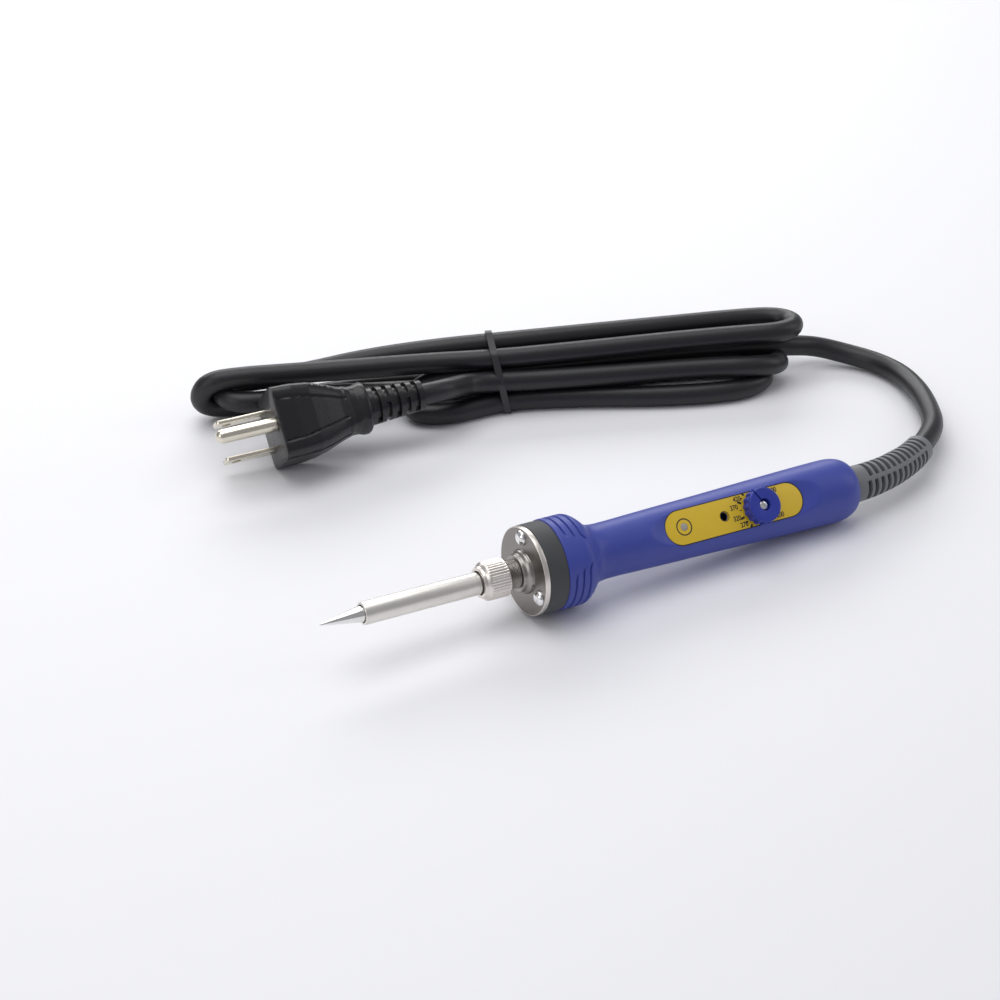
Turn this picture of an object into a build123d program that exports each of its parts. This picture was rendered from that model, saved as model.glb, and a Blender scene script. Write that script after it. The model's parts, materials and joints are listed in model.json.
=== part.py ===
"""Temperature-controlled soldering iron with a mains cord tied up in a hank.

Units are millimetres and +Z is up. The iron lies on a bench with its tip towards -X, touching the
bench at the front flange and at the rear of the handle. The origin is on the bench, under the middle
of the iron's box without the cord. Sub-parts of the iron are drawn along the X axis with x = 0 at the
front face of the mounting plate, and are then rolled, tilted and moved into place by one location.
"""
from build123d import *
from math import asin, cos, degrees, pi, radians, sin, tan
import os

# --- stations along the iron, from the front face of the mounting plate ---
TIP_X = -67.6
PIPE_FRONT_X = -54.1
NUT_FRONT_X = -15.4
NUT_REAR_X = -6.8
PLATE_T = 1.6
RING_REAR_X = 8.2
FLANGE_REAR_X = 16.0
WAIST_X = 25.5
HANDLE_REAR_X = 112.2
HANDLE_END_X = 120.5

# --- radii ---
TIP_POINT_R = 0.3
TIP_CONE_R = 2.45
TIP_SLEEVE_R = 2.85
PIPE_R = 3.5
PIPE_WALL = 0.35
PIPE_NECK_R = 3.2
PIPE_NECK_BORE = 2.9
PIPE_MOUTH_R = 2.75
PIPE_COLLAR_R = 4.5
NUT_R = 5.98
NUT_SHOULDER = 2.2
THREAD_R = 4.6
STEP_R = 5.9
BOSS_R = 6.9
PLATE_R = 13.84
RING_R = 14.0
FLANGE_R = 14.25
WAIST_R = 8.75
HANDLE_R = 10.4
HANDLE_END_R = 6.6
CAVITY_R = 6.3
FRONT_CAVITY_R = 7.3
HEATER_R = 1.9

# --- plate screws ---
SCREW_CIRCLE_R = 10.9
SCREW_R = 1.0
SCREW_HEAD_R = 1.85
SCREW_HEAD_H = 1.25
SCREW_LENGTH = 14.5
SCREW_ANGLES = (60, 180, 300)

# --- dial side ---
LABEL_X = 72.2
LABEL_H = 7.87
LABEL_SLOPE = 0.95
LABEL_LENGTH = 51.0
LABEL_WIDTH = 11.4
LABEL_T = 0.8
KNOB_X = 8.9
KNOB_R = 5.9
KNOB_H = 4.2
KNOB_GAP = 0.35
KNOB_NUBS = 16
SHAFT_R = 1.5
CAL_X = -3.8
CAL_HOLE_R = 1.45
LAMP_X = -18.6
LAMP_R = 1.25
BOARD_TOP = -6.8
BOARD_T = 1.2

# --- cord, boot and plug ---
CORD_D = 7.4
BOOT_R_START = 6.05
BOOT_R_END = 4.9
BOOT_BEND_R = 68.0
BOOT_BEND = 32.0
BOOT_RIBS = 12
BOOT_RIB_T = 1.7
BLADE_PITCH = 12.7
BLADE_W = 6.35
BLADE_T = 1.5
BLADE_L = 17.6
GROUND_OFFSET = 11.9
GROUND_R = 2.4
GROUND_L = 20.8
GROUND_SHANK_R = 2.0
PLUG_YAW = 173.7
PLUG_PITCH = 2.0
PLUG_ROLL = 41.0
PLUG_FACE = (-77.5, 119.1, 12.6)
PLUG_CENTRE_Y = 4.6

# --- how the iron lies ---
LABEL_ROLL = 49.8
TILT = degrees(asin((FLANGE_R - HANDLE_R) / (HANDLE_REAR_X - FLANGE_REAR_X)))
ORIGIN_FROM_PLATE = 47.4
BENCH_LIFT = 0.03

# --- hank of cord: its axis and its sections (distance along, across, height, offset across) ---
HANK_CENTRE = (11.2, 122.0)
HANK_ANGLE = -21.5
HANK_SECTIONS = (
    (-109, 14, 17, 1),
    (-100, 22, 21.5, 1),
    (-55, 22, 21.5, 2),
    (-14, 21, 23, 2),
    (-6, 24, 24, 1),
    (6, 24, 24, 1),
    (60, 34, 25, 2.5),
    (100, 36, 25, 4),
    (112, 34, 24, 5),
)
TIE_SECTION = (24, 24, 1)
FRONT_LOOPS = ((-3.4, 112.2, 0.0), (3.6, 121.4, 17.5))
SHORT_LOOP = ((-38.0, -19.0, 0.0), (-6.0, -8.0, 9.0))
PLUG_LEAD_END = (-3.4, 116.8, 13.0)
CORD_ENTRY = (108.0, 10.0, 9.6)
TIE_T = 0.8
TIE_W = 2.6

# Route of the free cord, from the end of the boot to the rear end of the hank.
CORD_ROUTE = (
    (126.0, 22.0, 7.8),
    (133.0, 34.0, 6.5),
    (139.5, 48.0, 5.2),
    (143.0, 62.0, 4.3),
    (141.5, 74.5, 4.0),
    (135.0, 84.8, 4.6),
    (125.5, 92.3, 6.9),
)


def rod(x0, x1, radius):
    """Solid cylinder along X between two stations."""
    return Pos((x0 + x1) / 2, 0, 0) * Rot(0, 90, 0) * Cylinder(radius, x1 - x0)


def tube(x0, x1, outer, inner):
    """Hollow cylinder along X."""
    return rod(x0, x1, outer) - rod(x0 - 1, x1 + 1, inner)


def turned(*points):
    """Solid of revolution about X of a closed outline of (x, radius) points."""
    return revolve(make_face(Polyline(*points, points[0])), Axis.X)


def block(x0, x1, width, z0, z1, y=0.0):
    """Box between two stations and two heights, centred across on y."""
    return Pos((x0 + x1) / 2, y, (z0 + z1) / 2) * Box(x1 - x0, width, z1 - z0)


def post(x, z0, z1, radius, y=0.0):
    """Upright cylinder at one station."""
    return Pos(x, y, (z0 + z1) / 2) * Cylinder(radius, z1 - z0)


# --------------------------------------------------------------------------- front end

def soldering_tip():
    """Plated conical tip, a sleeve over the heater with a collar behind the pipe's mouth."""
    outline = (
        (TIP_X, 0),
        (TIP_X, TIP_POINT_R),
        (PIPE_FRONT_X - 0.6, TIP_CONE_R),
        (PIPE_FRONT_X + 1.4, TIP_CONE_R),
        (PIPE_FRONT_X + 1.4, TIP_SLEEVE_R),
        (-26.0, TIP_SLEEVE_R),
        (-26.0, 0),
    )
    return turned(*outline) - rod(-49.5, -20.0, HEATER_R + 0.15)


def tip_enclosure():
    """Thin stainless pipe: a turned-in mouth, a rolled neck in the nut, and a collar that the nut traps."""
    inner = PIPE_R - PIPE_WALL
    mouth_x = PIPE_FRONT_X + 0.9
    neck_x = NUT_FRONT_X - 0.5
    collar_x = NUT_FRONT_X + NUT_SHOULDER + 0.15
    rear_x = collar_x + 0.8
    outline = (
        (PIPE_FRONT_X, PIPE_MOUTH_R),
        (PIPE_FRONT_X, PIPE_R - 0.35),
        (PIPE_FRONT_X + 0.5, PIPE_R),
        (neck_x, PIPE_R),
        (neck_x, PIPE_NECK_R),
        (collar_x, PIPE_NECK_R),
        (collar_x, PIPE_COLLAR_R),
        (rear_x, PIPE_COLLAR_R),
        (rear_x, PIPE_NECK_BORE),
        (neck_x - 0.5, PIPE_NECK_BORE),
        (neck_x - 1.0, inner),
        (mouth_x, inner),
        (mouth_x, PIPE_MOUTH_R),
    )
    return turned(*outline)


def enclosure_nut():
    """Knurled nut, chamfered at the front, with a shoulder that pulls the collar back."""
    shoulder_x = NUT_FRONT_X + NUT_SHOULDER
    outline = (
        (NUT_FRONT_X, PIPE_R + 0.15),
        (NUT_FRONT_X, NUT_R - 1.3),
        (NUT_FRONT_X + 1.6, NUT_R - 0.25),
        (NUT_REAR_X - 0.3, NUT_R - 0.25),
        (NUT_REAR_X, NUT_R - 0.5),
        (NUT_REAR_X, THREAD_R + 0.12),
        (shoulder_x, THREAD_R + 0.12),
        (shoulder_x, PIPE_R + 0.15),
    )
    nut = turned(*outline)
    ridge_length = NUT_REAR_X - NUT_FRONT_X - 2.2
    ridge = Pos(NUT_REAR_X - 0.4 - ridge_length / 2, 0, NUT_R - 0.3) * Box(ridge_length, 0.55, 0.6)
    ridges = [Rot(angle, 0, 0) * ridge for angle in range(0, 360, 12)]
    return nut.fuse(*ridges)


def threaded_nipple():
    """Stepped nipple: thread for the nut, two steps, and a spigot through the plate."""
    crest = THREAD_R
    root = THREAD_R - 0.35
    pitch = 0.8
    thread_front = NUT_FRONT_X + NUT_SHOULDER + 1.1
    thread_rear = -2.9
    outline = [(thread_front, 3.0), (thread_front, root)]
    x = thread_front + 0.3
    while x + pitch < thread_rear:
        outline += [(x + 0.25 * pitch, crest), (x + 0.45 * pitch, crest), (x + 0.8 * pitch, root)]
        x += pitch
    outline += [
        (thread_rear, root),
        (thread_rear, STEP_R),
        (-1.4, STEP_R),
        (-1.4, BOSS_R),
        (0, BOSS_R),
        (0, 4.2),
        (4.6, 4.2),
        (4.6, 3.0),
    ]
    return turned(*outline)


def screw_places():
    """Locations of the three plate screws, along X at the plate's front face."""
    return [Rot(angle, 0, 0) * Pos(0, 0, SCREW_CIRCLE_R) for angle in SCREW_ANGLES]


def plate_screw():
    """Pan-head machine screw with a cross recess, along X with its head in front of x = 0."""
    head = turned(
        (-SCREW_HEAD_H, 0),
        (-SCREW_HEAD_H, SCREW_HEAD_R - 0.75),
        (-SCREW_HEAD_H + 0.5, SCREW_HEAD_R),
        (0, SCREW_HEAD_R),
        (0, 0),
    )
    recess = Pos(-SCREW_HEAD_H, 0, 0) * (Box(1.4, 0.45, 2.0) + Box(1.4, 2.0, 0.45))
    return head + rod(0, SCREW_LENGTH, SCREW_R) - recess


def plate_screws():
    screw = plate_screw()
    return Compound(children=[place * screw for place in screw_places()])


def screw_holes(x0, x1, radius):
    """Three holes on the screw circle between two stations."""
    return [place * rod(x0, x1, radius) for place in screw_places()]


def mounting_plate():
    plate = tube(0, PLATE_T, PLATE_R, 4.2)
    return plate.cut(*screw_holes(-1, PLATE_T + 1, SCREW_R + 0.2))


def heat_ring():
    """Rubber ring that keeps the handle cool."""
    ring = tube(PLATE_T, RING_REAR_X, RING_R, FRONT_CAVITY_R)
    return ring.cut(*screw_holes(0, RING_REAR_X + 1, SCREW_R + 0.2))


def heater_rod():
    """Ceramic heater that the tip slides over."""
    return rod(-49.2, 16.0, HEATER_R)


def heater_holder():
    """Ceramic bush that holds the heater in the throat of the handle."""
    outline = (
        (4.8, HEATER_R),
        (4.8, 6.2),
        (13.0, 6.2),
        (13.0, 4.4),
        (15.0, 4.4),
        (15.0, HEATER_R),
    )
    return turned(*outline)


# --------------------------------------------------------------------------- handle

def handle_shell():
    """One-piece moulded handle: front flange, narrow waist, swelling grip and rounded end."""
    front = Polyline((RING_REAR_X, 0), (RING_REAR_X, FLANGE_R), (FLANGE_REAR_X, FLANGE_R))
    grip = Spline(
        (FLANGE_REAR_X, FLANGE_R),
        (19.4, 12.0),
        (21.8, 9.6),
        (WAIST_X, WAIST_R),
        (45, 9.05),
        (65, 9.45),
        (85, 9.95),
        (105, 10.35),
        (HANDLE_REAR_X, HANDLE_R),
        tangents=((1, 0), (1, 0)),
    )
    rear = Spline(
        (HANDLE_REAR_X, HANDLE_R),
        (HANDLE_REAR_X + 6.2, 8.9),
        (HANDLE_END_X, HANDLE_END_R),
        tangents=((1, 0), (0.3, -1)),
    )
    back = Polyline((HANDLE_END_X, HANDLE_END_R), (HANDLE_END_X, 0), (RING_REAR_X, 0))
    shell = revolve(make_face(front + grip + rear + back), Axis.X)
    shell -= rod(RING_REAR_X - 1, 22.0, FRONT_CAVITY_R)
    shell -= rod(20.0, 116.0, CAVITY_R)
    shell -= rod(115.0, HANDLE_END_X + 1, 4.5)
    shell = shell.cut(*screw_holes(RING_REAR_X - 1, SCREW_LENGTH + 0.5, SCREW_R))
    return shell.cut(*grip_grooves(), dial_pocket(), *dial_holes())


def grip_grooves():
    """Three short grooves round the flange on each side, with a smooth gap in line with the dial."""
    grooves = []
    for x, gap in ((10.4, 44), (12.9, 33), (15.3, 24)):
        section = Plane.XY * Pos(x, FLANGE_R) * Rectangle(0.7, 1.0)
        groove = revolve(section, Axis.X, revolution_arc=180 - gap)
        for side in (90 + gap / 2, 270 + gap / 2):
            grooves.append(Rot(side, 0, 0) * groove)
    return grooves


def dial_frame():
    """Location of the label's outer face, which follows the taper of the grip."""
    return Pos(LABEL_X, 0, LABEL_H) * Rot(0, -LABEL_SLOPE, 0)


def dial_pocket():
    outline = SlotOverall(LABEL_LENGTH, LABEL_WIDTH)
    return dial_frame() * Pos(0, 0, -LABEL_T) * extrude(outline, 6.0)


def dial_holes():
    """Holes under the label for the knob shaft, the calibration screw and the lamp."""
    wells = (post(KNOB_X, -4, 1, SHAFT_R + 0.4), post(CAL_X, -4, 1, CAL_HOLE_R), post(LAMP_X, -4, 1, LAMP_R))
    return [dial_frame() * well for well in wells]


def dial_label():
    """Yellow stadium-shaped label plate with its three holes."""
    label = Pos(0, 0, -LABEL_T) * extrude(SlotOverall(LABEL_LENGTH - 0.3, LABEL_WIDTH - 0.3), LABEL_T)
    label -= post(KNOB_X, -2, 1, SHAFT_R + 0.4)
    label -= post(CAL_X, -2, 1, CAL_HOLE_R)
    label -= post(LAMP_X, -2, 1, LAMP_R)
    return label


def temperature_knob():
    """Knob with a nubbed rim, a pointer groove and a well for its screw."""
    knob = post(KNOB_X, KNOB_GAP, KNOB_GAP + KNOB_H, KNOB_R - 0.35)
    nubs = []
    for index in range(KNOB_NUBS):
        turn = Pos(KNOB_X, 0, 0) * Rot(0, 0, 360 * index / KNOB_NUBS)
        nubs.append(turn * Pos(KNOB_R - 0.55, 0, KNOB_GAP + 1.6) * Box(1.1, 1.1, 3.2))
    knob = knob.fuse(*nubs)
    knob -= post(KNOB_X, 2.1, 8, 1.95)
    knob -= post(KNOB_X, 0, 3, SHAFT_R)
    groove = Pos(KNOB_X, 0, 0) * Rot(0, 0, 119) * Pos(3.6, 0, KNOB_GAP + KNOB_H) * Box(4.4, 0.7, 0.9)
    return knob - groove


def knob_screw():
    """Slotted screw that fastens the knob to its shaft."""
    head = post(KNOB_X, 2.1, 3.5, 1.6)
    return head - Pos(KNOB_X, 0, 3.5) * Box(4, 0.45, 0.8)


def potentiometer_shaft():
    return post(KNOB_X, BOARD_TOP + 1.0, 2.1, SHAFT_R)


def potentiometer_body():
    """Round potentiometer on the board, bored for its shaft."""
    return post(KNOB_X, BOARD_TOP, BOARD_TOP + 3.2, 4.1) - post(KNOB_X, BOARD_TOP + 0.9, 0, SHAFT_R + 0.08)


def circuit_board():
    return block(-44, 33, 10.6, BOARD_TOP - BOARD_T, BOARD_TOP)


def calibration_trimmer():
    body = block(CAL_X - 2.1, CAL_X + 2.1, 4.2, BOARD_TOP, BOARD_TOP + 1.8)
    return body - post(CAL_X, BOARD_TOP + 0.8, 0, 1.5)


def calibration_rotor():
    """Slotted rotor that a small screwdriver turns through the calibration hole."""
    rotor = post(CAL_X, BOARD_TOP + 0.9, BOARD_TOP + 2.2, 1.3)
    return rotor - Pos(CAL_X, 0, BOARD_TOP + 2.2) * Box(3, 0.5, 1.0)


def indicator_led():
    return block(LAMP_X - 1.0, LAMP_X + 1.0, 1.4, BOARD_TOP, BOARD_TOP + 0.8)


def indicator_lens():
    return post(LAMP_X, BOARD_TOP + 1.2, 0.0, LAMP_R)


def power_triac():
    """Flat power switch with three legs into the board."""
    body = block(-36, -27, 7.6, BOARD_TOP + 0.6, BOARD_TOP + 3.4)
    legs = [block(-27, -25.4, 0.7, BOARD_TOP, BOARD_TOP + 1.2, y) for y in (-2.3, 0, 2.3)]
    return body.fuse(*legs)


def control_chip():
    body = block(-13.5, -8.6, 3.9, BOARD_TOP + 0.15, BOARD_TOP + 1.6)
    pins = []
    for side in (-1, 1):
        for index in range(4):
            x = -12.95 + 1.27 * index
            pins.append(block(x - 0.2, x + 0.2, 1.4, BOARD_TOP, BOARD_TOP + 0.4, side * 2.3))
    return body.fuse(*pins)


def film_capacitor():
    return fillet(block(18.5, 27.5, 6.0, BOARD_TOP, BOARD_TOP + 3.6).edges().filter_by(Axis.Z), 0.8)


def resistors():
    """Three axial resistors lying across the underside of the board."""
    below = BOARD_TOP - BOARD_T - 1.15
    one = Rot(90, 0, 0) * Cylinder(1.1, 6.4)
    return Compound(children=[Pos(x, 0, below) * one for x in (-22, -17, -12)])


# --------------------------------------------------------------------------- wiring

def heater_leads():
    """Four leads from the heater's holder to the front of the board."""
    lead = rod(15.0, 29.0, 0.4)
    return Compound(children=[Pos(0, y, z) * lead for y in (-1.8, 1.8) for z in (-1.8, 1.8)])


def earth_spring():
    """Spring strip that earths the nipple: round the holder, up, and along to the board."""
    strip = block(3.6, 4.5, 2.4, -6.9, -4.25) + block(3.6, 18.5, 2.4, -7.2, -6.8)
    strip += block(18.1, 18.5, 2.4, -7.2, -5.5) + block(18.1, 30.2, 2.4, -5.9, -5.5)
    return strip + block(29.8, 30.2, 2.4, -5.9, -0.9)


def boot_path(x0):
    """Centre line of the cord through the handle's rear wall and the curved boot."""
    straight = Line((x0, 0, 0), (HANDLE_END_X + 1.5, 0, 0))
    bend = JernArc(straight @ 1, (1, 0, 0), BOOT_BEND_R, BOOT_BEND)
    return Wire([straight, bend])


def strain_relief():
    """Ribbed rubber boot: a flange inside the handle, a neck, and ribs that taper along a curve."""
    path = boot_path(112.0)
    neck = sweep(Plane(path @ 0, z_dir=path % 0) * Circle(4.5), path)
    flange = rod(112.0, 116.0, 5.9)
    visible = path.length - (HANDLE_END_X - 112.0)
    first = (HANDLE_END_X - 112.0) / path.length
    ribs = [rod(HANDLE_END_X, HANDLE_END_X + 4.2, BOOT_R_START)]
    for index in range(BOOT_RIBS):
        along = (index + 0.5) / BOOT_RIBS
        place = first + (5.6 + (visible - 6.6) * along) / path.length
        radius = BOOT_R_START + (BOOT_R_END - BOOT_R_START) * along
        frame = Plane(path @ place, z_dir=path % place)
        ribs.append(frame * Cylinder(radius, BOOT_RIB_T))
    end_cap = Plane(path @ 1, z_dir=path % 1) * Pos(0, 0, -0.75) * Cylinder(BOOT_R_END, 1.5)
    boot = neck.fuse(flange, *ribs, end_cap)
    bore = boot_path(110.0)
    return boot - sweep(Plane(bore @ 0, z_dir=bore % 0) * Circle(CORD_D / 2), bore)


def cord_entry():
    """Stretch of sheathed cord inside the boot, up to the clamp."""
    path = boot_path(109.0)
    return sweep(Plane(path @ 0, z_dir=path % 0) * Circle(CORD_D / 2), path)


def cord_clamp():
    """Saddle that grips the sheath just inside the handle."""
    ring = tube(109.2, 111.8, 5.6, CORD_D / 2)
    return ring


def cord_cores():
    """Three insulated cores from the stripped end of the cord to the rear of the board."""
    cores = []
    for y, z in ((-1.7, -1.0), (1.7, -1.0), (0.0, 1.9)):
        run = Polyline((109.0, y, z), (106.9, y, z))
        cores.append(sweep(Plane(run @ 0, z_dir=run % 0) * Circle(1.1), run))
    return Compound(children=cores)


# --------------------------------------------------------------------------- plug

def plug_body():
    """Moulded three-pin plug: rounded face, tapered shoulders and a ribbed boot, along -X."""
    front = Plane.YZ * Pos(PLUG_CENTRE_Y, 0) * RectangleRounded(25.0, 25.0, 5.0)
    middle = Plane.YZ.offset(-14.0) * Pos(PLUG_CENTRE_Y, 0) * RectangleRounded(22.0, 25.0, 6.0)
    rear = Plane.YZ.offset(-30.0) * Pos(PLUG_CENTRE_Y, 0) * RectangleRounded(15.0, 15.5, 6.5)
    body = loft([front, middle, rear], ruled=True)
    boot = Pos(0, PLUG_CENTRE_Y, 0) * turned((-29.0, 0), (-29.0, 6.7), (-53.0, 5.2), (-53.0, 0))
    grooves = []
    for index in range(5):
        x = -34.0 - 3.8 * index
        grooves.append(Pos(0, PLUG_CENTRE_Y, 0) * tube(x - 0.8, x + 0.8, 9.0, 4.9))
    body = (body + boot).cut(*grooves)
    return body - plug_bridge_shape() - plug_blades() - ground_pin()


def plug_bridge_shape():
    """Insulating bridge that holds the pins while the plug is moulded."""
    return block(-12.0, -5.0, 18.0, -9.0, 9.0, PLUG_CENTRE_Y)


def plug_bridge():
    return plug_bridge_shape() - plug_blades() - ground_pin()


def plug_blades():
    """Two flat blades with a hole near each end."""
    blade = block(-10.0, BLADE_L, BLADE_W, -BLADE_T / 2, BLADE_T / 2)
    blade = chamfer(blade.faces().sort_by(Axis.X)[-1].edges(), 0.6)
    blade -= post(BLADE_L - 4.0, -2, 2, 1.6)
    return Compound(children=[Pos(0, 0, side * BLADE_PITCH / 2) * blade for side in (1, -1)])


def ground_pin():
    """Round earth pin with a domed end and a thinner shank inside the plug."""
    pin = rod(0.0, GROUND_L, GROUND_R)
    pin = fillet(pin.faces().sort_by(Axis.X)[-1].edges(), GROUND_R - 0.4)
    return Pos(0, GROUND_OFFSET, 0) * (pin + rod(-10.0, 0.0, GROUND_SHANK_R))


# --------------------------------------------------------------------------- cord

def hank_frame():
    return Pos(*HANK_CENTRE, 0) * Rot(0, 0, HANK_ANGLE)


def hank_section(along, width, height, offset, grow=0.0):
    """Rounded section of the hank, square to its axis and standing on the bench."""
    corner = min(width, height) * 0.32
    section = RectangleRounded(width + 2 * grow, height + 2 * grow, corner + grow)
    return Plane.YZ.offset(along) * Pos(offset, height / 2) * section


def box_between(low, high):
    """Box from its lowest corner to its highest."""
    size = [top - bottom for top, bottom in zip(high, low)]
    middle = [(top + bottom) / 2 for top, bottom in zip(high, low)]
    return Pos(*middle) * Box(*size)


def cord_hank():
    """Outer shape of the folded cord, waisted at its tie, with the short loops in front of it."""
    sections = [hank_section(*values) for values in HANK_SECTIONS]
    hank = hank_frame() * (loft(sections, ruled=True) + box_between(*SHORT_LOOP))
    return hank + box_between(*FRONT_LOOPS)


def hank_tie():
    """Flat tie round the waist of the hank, open where the hank stands on the bench."""
    outer = extrude(hank_section(-TIE_W / 2, *TIE_SECTION, TIE_T), TIE_W)
    inner = extrude(hank_section(-TIE_W / 2, *TIE_SECTION), TIE_W)
    band = outer - inner
    return hank_frame() * (band - Pos(0, 0, -5) * Box(60, 60, 10))


def arc_radii(points):
    """Radius of each corner: 0.45 of the shorter run, divided by the tangent of half the turn."""
    radii = []
    for before, corner, after in zip(points, points[1:], points[2:]):
        run_in = corner - before
        run_out = after - corner
        half_turn = radians(run_in.get_angle(run_out)) / 2
        radii.append(0.45 * min(run_in.length, run_out.length) / tan(half_turn))
    return radii


def cord_tube(name, points):
    """Tube of straight runs and tangent arcs, with its radii, length and volume printed."""
    radii = arc_radii(points)
    path = FilletPolyline(*points, radius=radii)
    cord = sweep(Plane(path @ 0, z_dir=path % 0) * Circle(CORD_D / 2), path)
    section = pi * (CORD_D / 2) ** 2
    print(name, "route", [tuple(round(value, 1) for value in point) for point in points])
    print(name, "radii", [round(radius, 1) for radius in radii])
    print(name, "length %.1f volume %.0f expected %.0f" % (path.length, cord.volume, section * path.length))
    return cord


def power_cord(start, direction):
    """Free cord from the boot to just inside the rear end of the hank."""
    entry = (hank_frame() * Pos(*CORD_ENTRY)).position
    points = [start, start + direction * 8.0] + [Vector(*point) for point in CORD_ROUTE] + [entry]
    return cord_tube("power_cord", points)


def plug_lead(start, direction):
    """Short free cord from the plug's boot to the front of the hank."""
    entry = Vector(*PLUG_LEAD_END)
    return cord_tube("plug_lead", [start, start + direction * 6.0, entry - Vector(7.0, 0, 0), entry])


# --------------------------------------------------------------------------- assembly

def iron_place():
    """Where the plate's datum goes, with the tilt that lets the iron rest on two rims."""
    height = FLANGE_R * cos(radians(TILT)) + FLANGE_REAR_X * sin(radians(TILT)) + BENCH_LIFT
    return Pos(-ORIGIN_FROM_PLATE, 0, height) * Rot(0, TILT, 0)


def build():
    tilted = iron_place()
    rolled = tilted * Rot(LABEL_ROLL, 0, 0)
    dial = rolled * dial_frame()
    plug = Pos(*PLUG_FACE) * Rot(0, 0, PLUG_YAW) * Rot(0, PLUG_PITCH, 0) * Rot(PLUG_ROLL, 0, 0)
    boot_line = tilted * boot_path(112.0)
    plug_line = plug * Line((-40.0, PLUG_CENTRE_Y, 0), (-53.0, PLUG_CENTRE_Y, 0))
    parts = {
        "soldering_tip": rolled * soldering_tip(),
        "tip_enclosure": rolled * tip_enclosure(),
        "enclosure_nut": rolled * enclosure_nut(),
        "threaded_nipple": rolled * threaded_nipple(),
        "mounting_plate": rolled * mounting_plate(),
        "plate_screws": rolled * plate_screws(),
        "heat_ring": rolled * heat_ring(),
        "heater_rod": rolled * heater_rod(),
        "heater_holder": rolled * heater_holder(),
        "heater_leads": rolled * heater_leads(),
        "earth_spring": rolled * earth_spring(),
        "handle_shell": rolled * handle_shell(),
        "dial_label": dial * dial_label(),
        "temperature_knob": dial * temperature_knob(),
        "knob_screw": dial * knob_screw(),
        "potentiometer_shaft": dial * potentiometer_shaft(),
        "potentiometer_body": dial * potentiometer_body(),
        "circuit_board": dial * circuit_board(),
        "calibration_trimmer": dial * calibration_trimmer(),
        "calibration_rotor": dial * calibration_rotor(),
        "indicator_led": dial * indicator_led(),
        "indicator_lens": dial * indicator_lens(),
        "power_triac": dial * power_triac(),
        "control_chip": dial * control_chip(),
        "film_capacitor": dial * film_capacitor(),
        "resistors": dial * resistors(),
        "strain_relief": tilted * strain_relief(),
        "cord_entry": tilted * cord_entry(),
        "cord_clamp": tilted * cord_clamp(),
        "cord_cores": tilted * cord_cores(),
        "power_cord": power_cord(boot_line @ 1, boot_line % 1),
        "plug_lead": plug_lead(plug_line @ 1, plug_line % 1),
        "cord_hank": cord_hank(),
        "hank_tie": hank_tie(),
        "plug_body": plug * plug_body(),
        "plug_bridge": plug * plug_bridge(),
        "plug_blades": plug * plug_blades(),
        "ground_pin": plug * ground_pin(),
    }
    return parts


os.makedirs("parts", exist_ok=True)
for name, solid in build().items():
    export_step(solid, "parts/" + name + ".step")
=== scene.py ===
"""Looks of a temperature-controlled soldering iron with its mains cord tied up in a hank.

Blender works in metres, +Z up. Pieces of the iron are drawn in millimetres along the iron's own axis:
x = 0 is the front face of its mounting plate, +x runs to the cord and +z is the dial's side. The plug
is drawn in millimetres along its pins, and the cord is drawn on the bench.
"""
import json
import bpy
import bmesh
import numpy as np
from mathutils import Matrix, Vector


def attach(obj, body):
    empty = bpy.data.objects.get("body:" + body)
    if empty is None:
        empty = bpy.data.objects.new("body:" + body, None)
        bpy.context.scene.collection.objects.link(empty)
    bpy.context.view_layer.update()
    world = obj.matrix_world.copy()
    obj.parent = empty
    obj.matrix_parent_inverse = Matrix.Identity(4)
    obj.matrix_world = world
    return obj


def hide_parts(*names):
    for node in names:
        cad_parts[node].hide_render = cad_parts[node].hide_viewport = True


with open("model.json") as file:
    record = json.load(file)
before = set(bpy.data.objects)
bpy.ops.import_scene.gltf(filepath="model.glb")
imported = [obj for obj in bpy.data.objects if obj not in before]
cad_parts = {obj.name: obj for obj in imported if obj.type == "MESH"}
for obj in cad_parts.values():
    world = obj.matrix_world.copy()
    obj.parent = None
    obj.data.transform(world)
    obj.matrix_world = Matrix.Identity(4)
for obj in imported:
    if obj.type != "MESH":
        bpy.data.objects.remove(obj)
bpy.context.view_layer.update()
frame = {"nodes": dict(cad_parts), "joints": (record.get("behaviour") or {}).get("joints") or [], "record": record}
MM = 0.001
TAU = 2 * np.pi

# --- stations and radii of the iron, in millimetres ---
TIP_X = -67.6
PIPE_FRONT_X = -54.1
NUT_FRONT_X = -15.4
NUT_REAR_X = -6.8
PLATE_T = 1.6
RING_REAR_X = 8.2
FLANGE_REAR_X = 16.0
WAIST_X = 25.5
HANDLE_REAR_X = 112.2
HANDLE_END_X = 120.5
PIPE_R = 3.5
NUT_R = 5.98
NUT_SHOULDER = 2.2
THREAD_R = 4.6
BOSS_EDGE_R = 6.85
PLATE_R = 13.84
RING_R = 14.0
FLANGE_R = 14.25
HANDLE_R = 10.4
HANDLE_END_R = 6.6
FLANGE_FRONT_X = 9.2
SEAT_R = 7.3
SEAT_END_X = 22
GRIP_BORE_R = 6.3
REAR_WALL_X = 116
CORD_HOLE_R = 4.5
PLATE_BORE_R = 4.25
PIPE_BORE_R = 3.15
NECK_R = 3.22
NECK_BORE_R = 2.9
COLLAR_R = 4.5
TIP_BASE_R = 2.45
TIP_SLEEVE_R = 2.85
KNOB_SIDE_R = 5.45
SCREW_CIRCLE_R = 10.9
SCREW_HEAD_R = 2.4
SCREW_ANGLES = (60, 180, 300)
LABEL_X = 72.2
LABEL_H = 7.87
LABEL_SLOPE = 0.95
LABEL_LENGTH = 51.0
LABEL_WIDTH = 11.4
KNOB_X = 8.9
KNOB_TOP = 4.55
CAL_X = -3.8
CAL_R = 1.45
LAMP_X = -18.6
LAMP_R = 1.25
POINTER_ANGLE = 119.0

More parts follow.
